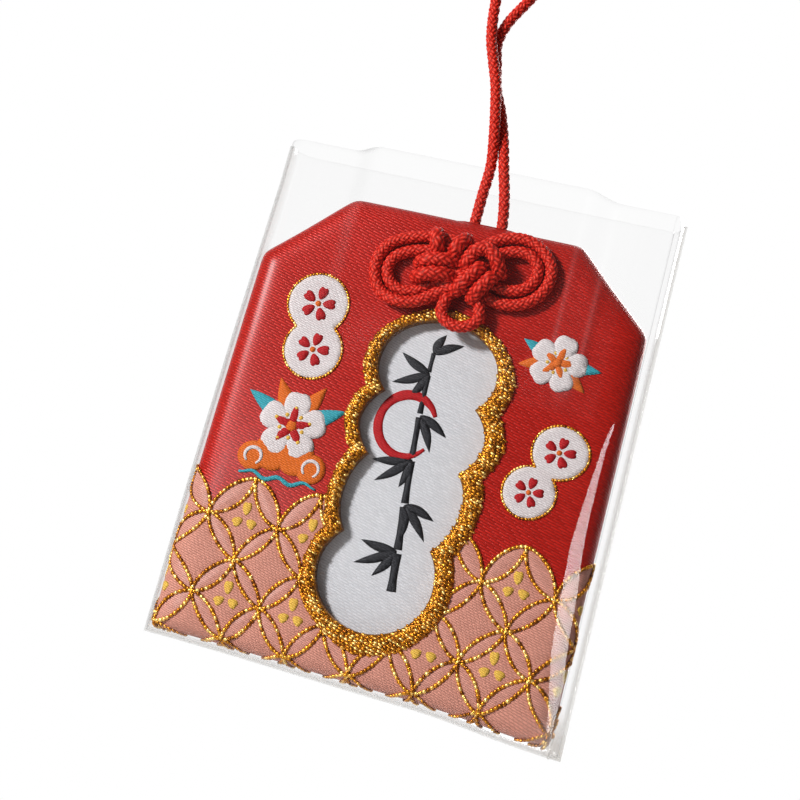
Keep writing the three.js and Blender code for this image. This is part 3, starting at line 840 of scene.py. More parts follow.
BRAID_STEP = 0.12
BRAID_SIDES = 40
BRAID_RELIEF = 0.26  # depth of the gaps between yarns, as a share of the cord's radius
STRANDS_IN_YARN = 2
STRAND_SWELL, YARN_SWELL = 0.7, 0.8  # how full strands and yarns are: less is fuller
YARN_ENDS = 0.35  # height of a yarn where it dives under the next, as a share of its crown


def carried_frames(route):
    """Two directions across the route at each point, turned as little as possible from one to the next"""
    ways = unit(np.gradient(route, axis=0))
    guide = np.array([0.0, 1.0, 0.0])
    if abs(ways[0] @ guide) > 0.9:
        guide = np.array([1.0, 0.0, 0.0])
    first = []
    for way in ways:
        guide = guide - way * (guide @ way)
        guide = guide / norm(guide)
        first.append(guide)
    first = np.array(first)
    return first, np.cross(ways, first)


def add_braid(gathered, route, radius, round_ends=True):
    """A plaited cord along the route, of yarns that pass over and under each other"""
    cord = bpy.context.scene.pouch_cord
    first, second = carried_frames(route)
    run = travelled(route)
    turn = np.arange(BRAID_SIDES) / BRAID_SIDES * 2 * math.pi
    round_cord = turn[None, :] * cord.yarns / (2 * math.pi)
    along_cord = run[:, None] * cord.yarns / mm(cord.plait_pitch)
    right, left = round_cord - along_cord, round_cord + along_cord
    right_over = (np.floor(right) + np.floor(left)) % 2 == 0
    right, left = right % 1, left % 1
    across = np.where(right_over, right, left)
    along = np.where(right_over, left, right)
    strand = np.sin(math.pi * (across * STRANDS_IN_YARN % 1)) ** STRAND_SWELL
    ply = strand * (YARN_ENDS + (1 - YARN_ENDS) * np.sin(math.pi * along) ** YARN_SWELL)
    girth = radius * (1 - BRAID_RELIEF * (1 - ply))
    if round_ends:
        end_gap = np.minimum(run, run[-1] - run)
        girth = girth * np.sqrt(1 - (1 - np.clip(end_gap / radius, 0.02, 1)) ** 2)[:, None]
    out = np.cos(turn)[None, :, None] * first[:, None] + np.sin(turn)[None, :, None] * second[:, None]
    rings = route[:, None] + out * girth[:, :, None]
    points = np.concatenate([rings.reshape(-1, 3), route[:1], route[-1:]])
    count = len(route)
    faces = ring_faces(count, BRAID_SIDES)
    start, end = count * BRAID_SIDES, count * BRAID_SIDES + 1
    last = (count - 1) * BRAID_SIDES
    for k in range(BRAID_SIDES):
        after = (k + 1) % BRAID_SIDES
        faces.append((start, after, k))
        faces.append((end, last + k, last + after))
    gathered.add(points, faces, ply=np.concatenate([ply.ravel(), [0.5, 0.5]]))


# Finishes


def set_inputs(tree, node, inputs):
    """Sets a node's inputs, or joins them where a value is another node's output"""
    for key, value in inputs.items():
        if isinstance(value, NodeSocket):
            tree.links.new(value, node.inputs[key])
        else:
            node.inputs[key].default_value = value


def wire(tree, kind, inputs=None, **choices):
    """A node with its choices made and its inputs set"""
    node = tree.nodes.new(kind)
    for name, value in choices.items():
        setattr(node, name, value)
    set_inputs(tree, node, inputs or {})
    return node


def maths(tree, operation, *values):
    """The outcome of a sum, product or other operation on values"""
    return wire(tree, "ShaderNodeMath", dict(enumerate(values)), operation=operation).outputs[0]


def product(tree, first, second):
    return maths(tree, "MULTIPLY", first, second)


def mixed(tree, share, first, second):
    """A mix of two colours, each a plain colour or another node's output"""
    first, second = (end if isinstance(end, NodeSocket) else (*end, 1) for end in (first, second))
    return wire(tree, "ShaderNodeMix", {0: share, 6: first, 7: second}, data_type="RGBA").outputs[2]


def between(tree, value, low, high, to_low=0.0, to_high=1.0):
    """A value carried over from one range to another"""
    return wire(tree, "ShaderNodeMapRange", {0: value, 1: low, 2: high, 3: to_low, 4: to_high}).outputs[0]


def mark(tree, name, output="Fac"):
    """What a piece's points keep under a name"""
    return wire(tree, "ShaderNodeAttribute", attribute_name=name).outputs[output]


def place_on(tree):
    return wire(tree, "ShaderNodeTexCoord").outputs["Object"]


def noise(tree, place, scale, detail):
    return wire(tree, "ShaderNodeTexNoise", {"Vector": place, "Scale": scale, "Detail": detail}).outputs[0]


def bumped(tree, height, strength, distance):
    inputs = {"Strength": strength, "Distance": distance, "Height": height}
    return wire(tree, "ShaderNodeBump", inputs).outputs[0]


def shaded(colour, share):
    return tuple(channel * share for channel in colour)


def lightened(colour, share):
    return tuple(min(1, channel * share) for channel in colour)


def new_finish(name):
    finish = bpy.data.materials.new(name)
    finish.use_nodes = True
    tree = finish.node_tree
    return finish, tree, tree.nodes["Principled BSDF"]


FLOAT_STEP = 0.38  # share of a float that each row is set along from the last


def woven(tree, row_pitch, float_length, lean):
    """Height of floats in leaning rows, and a number of its own for each float"""

    def leaning(operation, first, second):
        level = product(tree, first, math.cos(lean))
        return maths(tree, operation, level, product(tree, second, math.sin(lean)))

    def crest(value, power):
        half_turn = product(tree, maths(tree, "FRACT", value), math.pi)
        return maths(tree, "POWER", maths(tree, "SINE", half_turn), power)

    place = wire(tree, "ShaderNodeSeparateXYZ", {0: mark(tree, "cloth", "Vector")}).outputs
    rows = maths(tree, "DIVIDE", leaning("ADD", place[1], place[0]), row_pitch)
    row = maths(tree, "FLOOR", rows)
    along = maths(tree, "DIVIDE", leaning("SUBTRACT", place[0], place[1]), float_length)
    floats = maths(tree, "MULTIPLY_ADD", row, FLOAT_STEP, along)
    plump = maths(tree, "MULTIPLY_ADD", crest(floats, 0.5), 0.6, 0.4)
    height = product(tree, crest(rows, 0.6), plump)
    pair = wire(tree, "ShaderNodeCombineXYZ", {0: row, 1: maths(tree, "FLOOR", floats)}).outputs[0]
    own = wire(tree, "ShaderNodeTexWhiteNoise", {"Vector": pair}, noise_dimensions="3D").outputs["Value"]
    return height, own


def silk_finish(
    name, colour, row_pitch=0.3, float_length=0.8, roughness=0.42, depth=0.00009,
    painted_groove_shade=0.3, pale=0.35, sheen=0, glaze=0,
):
    """Woven silk: floats with painted shade in the grooves between them and a painted highlight on their
    crowns, with a soft shine
    """
    brocade = bpy.context.scene.pouch_brocade
    finish, tree, shader = new_finish(name)
    height, own = woven(tree, row_pitch, float_length, brocade.row_lean)
    # Painted shade: the grooves between the floats are made darker.
    base = mixed(tree, height, shaded(colour, 1 - painted_groove_shade), colour)
    # Painted highlight: the crowns of the floats are made lighter, by the pale share.
    crown = product(tree, product(tree, height, height), product(tree, own, pale))
    base = mixed(tree, crown, base, lightened(colour, 1.5))
    wear = wire(tree, "ShaderNodeTexNoise", {"Scale": 140.0, "Detail": 3.0}).outputs[0]
    base = mixed(tree, product(tree, wear, 0.16), base, shaded(colour, 0.7))
    tint = [0.4 + 0.6 * channel / max(colour) for channel in colour]
    set_inputs(tree, shader, {
        "Base Color": base,
        "Roughness": maths(tree, "MULTIPLY_ADD", own, 0.14, roughness - 0.07),
        "Normal": bumped(tree, height, 0.85, depth),
        "Metallic": sheen,
        "Specular IOR Level": 0.3,
        "Specular Tint": (*tint, 1),
        "Coat Weight": glaze,
        "Coat Roughness": 0.27,
    })
    return finish


def gold_finish(name, dim=1.0):
    """Metallic thread whose stitches differ at random, from painted shade in dark gaps to painted highlights
    as bright glints
    """
    gold = bpy.context.scene.pouch_gold
    finish, tree, shader = new_finish(name)
    specks = wire(tree, "ShaderNodeTexVoronoi", {"Vector": place_on(tree), "Scale": 7000.0})
    speck = wire(tree, "ShaderNodeSeparateColor", {0: specks.outputs["Color"]}).outputs[0]
    # Each stitch's random glint and the fine specks pick its gold: the dark gold is painted shade, the bright
    # gold a painted highlight and sparkle.
    share = maths(tree, "MULTIPLY_ADD", speck, 0.22, product(tree, mark(tree, "glint"), 0.8))
    base = mixed(tree, between(tree, share, 0.12, 0.5), shaded(gold.dark, dim), gold.gold)
    set_inputs(tree, shader, {
        "Base Color": mixed(tree, between(tree, share, 0.62, 0.9), base, gold.bright),
        "Roughness": between(tree, speck, 0.0, 1.0, 0.2, 0.46),
        "Normal": bumped(tree, speck, 0.5, 0.00006),
        "Metallic": 0.8,
    })
    return finish


def cord_finish():
    """Shiny braided yarn, with painted shade between its plaits and painted highlights on the crowns of its
    yarns
    """
    cord = bpy.context.scene.pouch_cord
    finish, tree, shader = new_finish("braided red cord")
    ply = mark(tree, "ply")
    fibre = noise(tree, place_on(tree), 5200.0, 2.0)
    # Painted shade: the yarn is darker where it dives between the plaits.
    base = mixed(tree, ply, shaded(cord.red, 0.12), cord.red)
    # Painted highlight: bright flecks on the crowns of the yarns.
    yarn_crown_highlight = product(tree, between(tree, ply, 0.72, 1.0), product(tree, fibre, 0.9))
    set_inputs(tree, shader, {
        "Base Color": mixed(tree, yarn_crown_highlight, base, (1.0, 0.16, 0.1)),
        "Roughness": maths(tree, "MULTIPLY_ADD", fibre, 0.3, 0.3),
        "Normal": bumped(tree, fibre, 0.5, 0.00006),
        "Specular IOR Level": 0.4,
        "Specular Tint": (1, 0.38, 0.3, 1),
    })
    return finish


def plain_sheet_finish(name, colour, scale, roughness, stretch=(1, 1, 1)):
    """Card, paper or wood: fibres in the colour and a faint tooth"""
    finish, tree, shader = new_finish(name)
    laid = wire(tree, "ShaderNodeMapping", {"Vector": place_on(tree), "Scale": stretch}).outputs[0]
    fibre = noise(tree, laid, scale, 6.0)
    set_inputs(tree, shader, {
        "Base Color": mixed(tree, fibre, shaded(colour, 0.72), lightened(colour, 1.12)),
        "Roughness": maths(tree, "MULTIPLY_ADD", fibre, 0.2, roughness - 0.1),
        "Normal": bumped(tree, fibre, 0.3, 0.00008),
    })
    return finish


def film_finish():
    """Clear film: sharp reflections, soft where it is slack, milky along its welds, and with milky film at
    its right foot as a painted highlight of its fold
    """
    sleeve = bpy.context.scene.pouch_sleeve
    finish, tree, _ = new_finish("clear film")
    tree.nodes.clear()
    bump = bumped(tree, noise(tree, place_on(tree), 90.0, 1.0), 0.2, 0.00015)
    edge = wire(tree, "ShaderNodeFresnel", {"IOR": 1.36, "Normal": bump}).outputs[0]
    outer = maths(tree, "SUBTRACT", 1.0, wire(tree, "ShaderNodeNewGeometry").outputs["Backfacing"])
    clear = wire(tree, "ShaderNodeBsdfTransparent", {0: (0.995, 0.995, 0.995, 1)}).outputs[0]
    soft = maths(tree, "MULTIPLY_ADD", mark(tree, "slack"), 0.4, 0.05)
    gloss = wire(tree, "ShaderNodeBsdfGlossy", {"Roughness": soft, "Normal": bump}).outputs[0]
    film = wire(tree, "ShaderNodeMixShader", {0: product(tree, edge, outer), 1: clear, 2: gloss}).outputs[0]
    # Milky film: the film's own along the welds, a painted highlight at the right foot.
    weld_milk_and_painted_highlight = wire(tree, "ShaderNodeBsdfDiffuse", {"Color": (0.86, 0.82, 0.76, 1)}).outputs[0]
    share = product(tree, mark(tree, "weld"), sleeve.haze)
    surface = wire(tree, "ShaderNodeMixShader", {0: share, 1: film, 2: weld_milk_and_painted_highlight}).outputs[0]
    wire(tree, "ShaderNodeOutputMaterial", {0: surface})
    return finish


# Operators


class POUCH_OT_stage(Operator):
    """Set up the camera, the lamps, the floor and the background"""

    bl_idname = "pouch.stage"
    bl_label = "Set the stage"

    # Each lamp's place from what it aims at, its size, and how far over the pouch's middle it aims
    LAMPS = {
        "key": ((-0.4, -0.47, 0.17), (0.1, 0.1), 0),
        "sheen": ((-0.12, -0.235, -0.01), (0.05, 0.05), 0),
        "strip": ((0.24, -0.29, 0.012), (0.07, 0.135), 0.012),
        "back": ((0.15, 0.5, 0.3), (0.3, 0.3), 0),
    }
    SHEEN_POWER, STRIP_POWER, BACK_POWER = 0.27, 0.58, 2.4
    FLOOR_RADIUS, FLOOR_CORNERS = 320, 48
    FLOOR_FADE = 0.1, 0.25  # where the floor starts to fade and where it is gone, in metres
    SKY = -0.3, 0.6, 0.1, 1.0  # depths of a mirrored ray's way, and the sky's strength at both

    def execute(self, context):
        scene = context.scene
        stage = scene.pouch_stage
        scene.view_settings.view_transform = "Standard"
        self.camera(scene, stage)
        self.lamp("key", stage.key_power)
        sheen = self.lamp("sheen", self.SHEEN_POWER)
        sheen.visible_diffuse = False  # for the satin's gloss alone
        self.lamp("strip", self.STRIP_POWER)
        self.lamp("back", self.BACK_POWER)
        self.sky(scene, stage.sky)
        self.floor(stage)
        return {"FINISHED"}

    @staticmethod
    def camera(scene, stage):
        camera = bpy.data.objects.new("camera", bpy.data.cameras.new("camera"))
        scene.collection.objects.link(camera)
        look = Vector(stage.camera_aim) - Vector(stage.camera_place)
        lean = Quaternion((0, 0, 1), stage.camera_roll)
        camera.location = stage.camera_place
        camera.rotation_mode = "QUATERNION"
        camera.rotation_quaternion = look.to_track_quat("-Z", "Y") @ lean
        camera.data.lens = stage.lens
        camera.data.sensor_width = 36
        camera.data.clip_start = 0.005
        scene.camera = camera

    def lamp(self, name, power):
        offset, size, aim_rise = self.LAMPS[name]
        aim = Vector((0, 0, FOOT_Z + HEIGHT / 2 * MM + aim_rise))
        light = bpy.data.lights.new(name, "AREA")
        light.shape = "RECTANGLE"
        light.size, light.size_y = size
        light.energy = power
        lamp = bpy.data.objects.new(name, light)
        bpy.context.scene.collection.objects.link(lamp)
        lamp.location = aim + Vector(offset)
        lamp.rotation_mode = "QUATERNION"
        lamp.rotation_quaternion = (aim - lamp.location).to_track_quat("-Z", "Y")
        return lamp

    def sky(self, scene, level):
        """White behind the pouch, dim towards the camera so that the film stays clear"""
        world = bpy.data.worlds.new("studio")
        world.use_nodes = True
        scene.world = world
        tree = world.node_tree
        rays = wire(tree, "ShaderNodeLightPath").outputs
        seen = maths(tree, "MAXIMUM", rays["Is Camera Ray"], rays["Is Transmission Ray"])
        way = wire(tree, "ShaderNodeTexCoord").outputs["Generated"]
        depth = wire(tree, "ShaderNodeSeparateXYZ", {0: way}).outputs[1]
        mirrored = between(tree, depth, *self.SKY)
        strength = maths(tree, "MULTIPLY_ADD", seen, 1 - level, level)
        gloss = product(tree, rays["Is Glossy Ray"], maths(tree, "SUBTRACT", mirrored, level))
        strength = maths(tree, "ADD", strength, gloss)
        set_inputs(tree, tree.nodes["Background"], {"Color": (1, 1, 1, 1), "Strength": strength})

    def floor(self, stage):
        """A pale floor that fades into the background"""
        level = -mm(stage.floor_drop)
        count = self.FLOOR_CORNERS
        ring = np.column_stack([disc(0, 0, self.FLOOR_RADIUS, count), np.full(count, level)])
        points = np.concatenate([ring, [(0, 0, level)]])
        gathered = Gathered()
        gathered.add(points, [(k, (k + 1) % count, count) for k in range(count)])
        finish, tree, shader = new_finish("pale floor")
        place = wire(tree, "ShaderNodeNewGeometry").outputs["Position"]
        flat = wire(tree, "ShaderNodeVectorMath", {0: place, 1: (1, 1, 0)}, operation="MULTIPLY").outputs[0]
        reach = wire(tree, "ShaderNodeVectorMath", {0: flat}, operation="LENGTH").outputs["Value"]
        start, end = self.FLOOR_FADE
        fading = {0: reach, 1: start, 2: end, 3: 1.0, 4: 0.0}
        fade = wire(tree, "ShaderNodeMapRange", fading, interpolation_type="SMOOTHSTEP").outputs[0]
        set_inputs(tree, shader, {
            "Base Color": mixed(tree, noise(tree, place, 400.0, 2.0), (0.93, 0.93, 0.93), (0.97, 0.97, 0.97)),
            "Alpha": fade,
            "Roughness": 0.9,
            "Specular IOR Level": 0.1,
        })
        gathered.piece("floor", [finish])


# Points of the cord's routes are (x, y, z) with z from the pouch's top edge, as the solids have them.


SPLIT_Z = 16.4  # where the strands' piece meets the loop's
# Each bend's x and z, and how far down and up from there it is spread
LOWER_BEND = 1.925, 10.3, 1.1, 1.3
UPPER_BEND = -1.35, 22.5, 1.7, 1.7
LEFT_STRAND = [
    (1.3, 0, -8.9), (0.8, 0, -6.4), (0.8, 0, -3), (0.8, 0, 1), (0.85, 0, 5.5), (0.95, 0, 10.3),
    (0.3, -0.68, 15), (-0.5, -0.9, 19),
]
LOOP = [
    (-1.35, -0.95, 22.5), (-2.6, -0.95, 26), (-3.8, -0.85, 29.6), (-4.6, -0.6, 35), (-4.7, -0.3, 41),
    (-3.5, 0, 47.8), (0, 0, 51.8), (3.4, 0, 47.8), (2.8, 0.3, 42.5), (0.2, 0.6, 37.5), (-2.3, 0.85, 33),
    (-3.0, 0.95, 29.7), (-2.3, 0.95, 26.3), (-1.35, 0.95, 22.5),
]
RIGHT_STRAND = [
    (0.2, 0.9, 19), (1.6, 0.68, 15), (2.9, 0, 10.3), (4.2, 0, 5.4), (4.9, 0, 1), (4.9, 0, -3),
    (4.9, 0, -6.4), (4.4, 0, -8.9),
]
CORD_TURN = (2.85, 0, -9.7)  # inside the pouch, where the cord turns back up


def from_top(points):
    return np.array(points, float) + (0, 0, HEIGHT)


class POUCH_OT_drawcord(Operator):
    """Run the cord up out of the pouch's mouth and round into its hanging loop"""

    bl_idname = "pouch.drawcord"
    bl_label = "Run the drawcord"

    def execute(self, context):
        finish = cord_finish()
        stops = [CORD_TURN, *LEFT_STRAND, *LOOP, *RIGHT_STRAND, CORD_TURN]
        route = smooth_route(from_top(stops), BRAID_STEP)
        above = np.flatnonzero(route[:, 2] > HEIGHT + SPLIT_Z)
        start, end = above[0], above[-1]
        loop_route = route[start : end + 1]
        strand_route = np.concatenate([route[end:], route[1 : start + 1]])
        loop = self.cord_piece("hanging_loop_cord", loop_route, finish)
        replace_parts(loop, "hanging_loop")
        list(self.bend(*UPPER_BEND))
        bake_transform(loop)
        strands = self.cord_piece("drawcord", strand_route, finish)
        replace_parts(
            strands, "left_strand_root", "right_strand_root", "left_neck_strand", "right_neck_strand"
        )
        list(self.bend(*LOWER_BEND))
        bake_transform(strands)
        for made, line in ((loop, loop_route), (strands, strand_route)):
            path = row_frame(line)
            length = float(travelled(path)[-1])
        return {"FINISHED"}

    @staticmethod
    def cord_piece(name, route, finish):
        gathered = Gathered()
        add_braid(gathered, route, mm(bpy.context.scene.pouch_cord.strand_cord) / 2, round_ends=False)
        return gathered.piece(name, [finish], "cord")

    @staticmethod
    def bend(x, z, down, up):
        """Both ends of the stretch that a bend is spread over"""
        return row_frame([(x, 0, HEIGHT + (z - down)), (x, 0, HEIGHT + (z + up))])


# Knot. Runs lie on the cloth, and wraps cross over them. These are the depths of their middles.
LYING = -4.1
WRAP = -6.3
SLACK = -5.25
DROP = -4.9
SEWN = -3.6
KNOT = {
    "knot_left_ear": {
        "knot_left_ear_outer": [
            (0.2, LYING, -3.4), (-3.4, LYING, -3.4), (-6.9, LYING, -4.2), (-9.6, LYING, -5.6),
            (-11, LYING, -8.1), (-10.8, LYING, -10.8), (-9.3, LYING, -13), (-6.6, DROP, -14),
            (-3.8, DROP, -13.5), (-1.4, DROP, -11.8), (1.0, DROP, -10.2),
        ],
        "knot_left_ear_inner": [
            (-1.3, LYING, -5.6), (-3.7, LYING, -5.6), (-6.4, LYING, -6.2), (-8.6, LYING, -7.6),
            (-9.2, LYING, -9.5), (-8.3, LYING, -11.4), (-6.5, LYING, -12.2), (-4.5, LYING, -11.9),
            (-2.6, LYING, -10.6), (-0.6, LYING, -9.4),
        ],
    },
    "knot_right_ear": {
        "knot_right_ear_outer": [
            (2.6, LYING, -4.2), (4.6, LYING, -2.5), (7.1, LYING, -1.3), (9.6, LYING, -1.1),
            (12, LYING, -2.1), (13.8, LYING, -4.3), (13.9, LYING, -7), (12.6, LYING, -9.3),
            (10.3, LYING, -10.7), (7.6, LYING, -11), (5.8, LYING, -10.5), (4.0, LYING, -9.4),
        ],
        "knot_right_ear_inner": [
            (4.2, LYING, -5.8), (6.3, LYING, -3.9), (8.4, LYING, -3.1), (10.4, LYING, -3.2),
            (11.9, LYING, -4.6), (12, LYING, -6.5), (10.9, LYING, -8.1), (9, LYING, -8.9),
            (7.1, LYING, -8.8), (5.2, LYING, -7.9),
        ],
    },
    "knot_wraps": {
        "knot_cross_wrap_upper": [
            (-5, LYING + 0.4, -8), (-4.4, SLACK, -7.7), (-3.3, WRAP, -7.5), (-0.9, WRAP, -7),
            (0.3, SLACK, -6.8), (1, LYING, -6.7),
        ],
        "knot_cross_wrap_lower": [
            (-5, LYING + 0.4, -10.1), (-4.4, SLACK, -9.9), (-3.3, WRAP, -9.6), (-1.1, WRAP, -9.1),
            (0.2, SLACK, -8.9), (1, LYING, -8.8),
        ],
        "knot_upright_wrap_left": [
            (-3.3, LYING + 0.4, -3.2), (-3.2, SLACK, -3.2), (-3, WRAP + 0.2, -3.8),
            (-2.7, WRAP, -4.9), (-2.4, SLACK, -6), (-2.2, LYING, -6.6),
        ],
        "knot_upright_wrap_right": [
            (1.2, LYING + 0.4, -3.2), (1.1, SLACK, -3.2), (0.7, WRAP + 0.2, -3.8),
            (0.2, WRAP, -4.8), (-0.2, SLACK, -5.8), (-0.4, LYING, -6.5),
        ],
        "knot_arched_wrap": [
            (1.6, LYING, -7.4), (2, SLACK - 0.4, -6.6), (2.9, WRAP, -4.9), (4.4, WRAP, -4.2),
            (6, WRAP, -5.2), (6.9, SLACK, -6.7), (7.2, LYING, -7.4),
        ],
        "knot_slanted_wrap_left": [
            (4.6, SLACK, -6.5), (3.9, WRAP, -7.4), (3.1, WRAP, -8.5), (2.3, WRAP, -9.6),
            (1.5, SLACK, -10.7), (1.2, LYING, -11.2),
        ],
        "knot_slanted_wrap_right": [
            (6.5, SLACK, -7.5), (5.9, WRAP, -8.4), (5.3, WRAP, -9.4), (4.7, WRAP, -10.3),
            (4.1, SLACK, -11.3), (3.8, LYING, -11.8),
        ],
    },
    "knot_tail": {
        "knot_drop_loop": [
            (0.9, LYING, -10.8), (0.4, DROP, -12.2), (0.1, DROP, -13.9), (0.9, DROP, -15.2),
            (2.8, DROP, -15.8), (4.8, DROP, -15.1), (5.6, DROP, -13.8), (5.2, DROP, -12.2),
            (4.6, LYING, -10.8),
        ],
    },
}
WRAP_SWELL = 1.22  # how much thicker than the cord the flattened wraps look
KNOT_HEART = [
    [(-3.4, SEWN, -9.6), (0, LYING - 0.7, -10.2), (3, LYING - 0.7, -10.2), (6, SEWN, -9.4)],
    [(-3.4, SEWN, -8), (0.8, LYING - 0.8, -8.2), (3.4, LYING - 0.8, -8.2), (6.4, SEWN, -7.4)],
    [(-3.2, SEWN, -6.4), (0.8, LYING - 0.7, -6.2), (3.4, LYING - 0.7, -6.2), (6.2, SEWN, -5.8)],
    [(0.4, SEWN, -2.8), (1.6, LYING - 0.4, -4.0), (2.6, LYING - 0.4, -5.6)],
    [(-2.2, SEWN, -3.2), (-1.2, LYING - 0.4, -4.8), (-0.6, LYING - 0.4, -6.0)],
]


class POUCH_OT_knot(Operator):
    """Tie the knot on the front of the pouch"""

    bl_idname = "pouch.knot"
    bl_label = "Tie the knot"

    def execute(self, context):
        radius = mm(context.scene.pouch_cord.knot_cord) / 2
        for name, runs in KNOT.items():
            swell = WRAP_SWELL if name == "knot_wraps" else 1
            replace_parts(self.tied(name, runs.values(), radius * swell), *runs)
        self.tied("knot_heart", KNOT_HEART, radius)
        return {"FINISHED"}

    @staticmethod
    def tied(name, runs, radius):
        gathered = Gathered()
        for points in runs:
            add_braid(gathered, smooth_route(from_top(points), BRAID_STEP), radius)
        knot = gathered.piece(name, [bpy.data.materials["braided red cord"]], "cord")
        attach(knot, "pouch")
        return knot


class POUCH_OT_brocade(Operator):
    """Sew the front and back of the pouch, with the band woven across its foot"""

    bl_idname = "pouch.brocade"
    bl_label = "Sew the brocade"

    # Each half's piece, side and solid, and the card that it is stretched over
    HALVES = [
        ("brocade_front", FRONT, "front_brocade", "front_stiffener"),
        ("brocade_back", BACK, "back_brocade", "back_stiffener"),
    ]
    SATIN, PETAL, GROUND = range(3)
    RIM_LINES, RIM_STEP = 8, 1.0  # lines of places round the soft edge, and their spacing
    FINE_STEP, WIDE_STEP = 0.55, 1.1  # spacing of the places in the band and above it
    BAND_MARGIN = 0.6  # how far the fine places go on over the band, and the gap from there
    RIM_MARGIN, HOLE_MARGIN = 0.3, 0.25  # how near the rim and the window's hole they come
    THREAD_MARGIN = 0.05  # how near the gold threads they come, as a share of half a ring
    HOLE = 0.6  # how far outside the window's edge the cloth's hole is cut
    HOLE_SLIVER, SEAM_SLIVER = 0.02, 0.9995  # tell triangles on the cloth from slivers past its edges

    def execute(self, context):
        brocade = context.scene.pouch_brocade
        pitch, run = mm(brocade.row_pitch), mm(brocade.float_length)
        finishes = [
            silk_finish(
                "red satin", brocade.red, pitch, run,
                roughness=0.36, depth=0.00012, painted_groove_shade=0.42, pale=0.5, sheen=0.1, glaze=0.2,
            ),
            silk_finish(
                "pink petal satin", brocade.pink, pitch * 0.75, run, depth=0.0001, pale=0.45, glaze=0.15
            ),
            silk_finish(
                "rose ground", brocade.rose, pitch * 0.85, run * 0.45,
                roughness=0.5, depth=0.0001, painted_groove_shade=0.34, pale=0.3,
            ),
        ]
        for name, side, node, card in self.HALVES:
            places, faces, finish_of = self.cut(side)
            points, _ = on_cloth(places, side)
            if side == BACK:
                faces = faces[:, ::-1]
            cloth = np.column_stack([places, np.zeros(len(places))])
            made = make_piece(name, points, faces.tolist(), finishes, finish_of, {"cloth": cloth})
            thicken(made, brocade.thickness)
            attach(made, "pouch")
            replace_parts(made, node)
        return {"FINISHED"}

    def cut(self, side):
        """Places, triangles and finishes of one half of the pouch, laid out flat"""
        roll = mm(bpy.context.scene.pouch_brocade.edge_roll)
        seam = edge_arc(roll)[1][-1]
        shares = np.linspace(0, 1, self.RIM_LINES + 1)
        lines = [(rim_places(seam * share, self.RIM_STEP), share == 1) for share in shares]
        if side == FRONT:
            lines.append((window_line(self.HOLE, steps=30), True))
        lines += [(ring, True) for ring in band_rings()]
        edges = []
        count = 0
        for line, is_edge in lines:
            if is_edge:
                edges += ring_edges(count, len(line))
            count += len(line)
        grid = self.grid(outline_corners(roll), side)
        places, faces = cut_mesh(np.concatenate([*(line for line, _ in lines), grid]), edges)
        middles = places[faces].mean(axis=1)
        keep = past_flat(middles)[0] < seam * self.SEAM_SLIVER
        if side == FRONT:
            keep &= window_growth(middles) > self.HOLE - self.HOLE_SLIVER
        faces, middles = faces[keep], middles[keep]
        first, second = ring_pattern(middles)
        woven_in = np.where((first < 1) & (second < 1), self.PETAL, self.GROUND)
        return *only_used(places, faces), np.where(in_band(middles), woven_in, self.SATIN)

    def grid(self, corners, side):
        """Places on the flat of the face, closer together in the band"""
        band_top = RING_HEIGHTS[-1] + self.BAND_MARGIN
        low, high = corners.min(axis=0), corners.max(axis=0)
        fine = spaced(low, (high[0], band_top), self.FINE_STEP)
        wide = spaced((low[0], band_top + self.BAND_MARGIN), high, self.WIDE_STEP)
        grid = np.concatenate([fine, wide])
        grid = grid[past_flat(grid)[0] == 0]
        grid = grid[gap_to_line(grid, corners) > self.RIM_MARGIN]
        if side == FRONT:
            grid = grid[window_growth(grid) > self.HOLE + self.HOLE_MARGIN]
        return grid[~(in_band(grid) & (thread_gap(grid) < self.THREAD_MARGIN))]


def band_rings(steps=44):
    """Every ring of the band's pattern that reaches the cloth"""
    turn = np.arange(steps) / steps * 2 * math.pi
    ring = np.column_stack([np.cos(turn), np.sin(turn)])
    middles = [(i, -j) for i in RING_COLUMNS for j in range(3)]
    middles += [(i + 0.5, 0.5 - j) for i in (RING_COLUMNS[0] - 1, *RING_COLUMNS) for j in range(3)]
    rings = []
    for middle in middles:
        power = np.where(middle[1] + ring[:, 1] / 2 < -1e-6, RING_POWER, TOP_RING_POWER)
        across, up = (middle + np.sign(ring) * np.abs(ring) ** (2 / power)[:, None] / 2).T
        heights = np.interp(up, RING_ROWS, RING_HEIGHTS)
        rings.append(np.column_stack([across * ring_width(heights), heights]))
    return rings


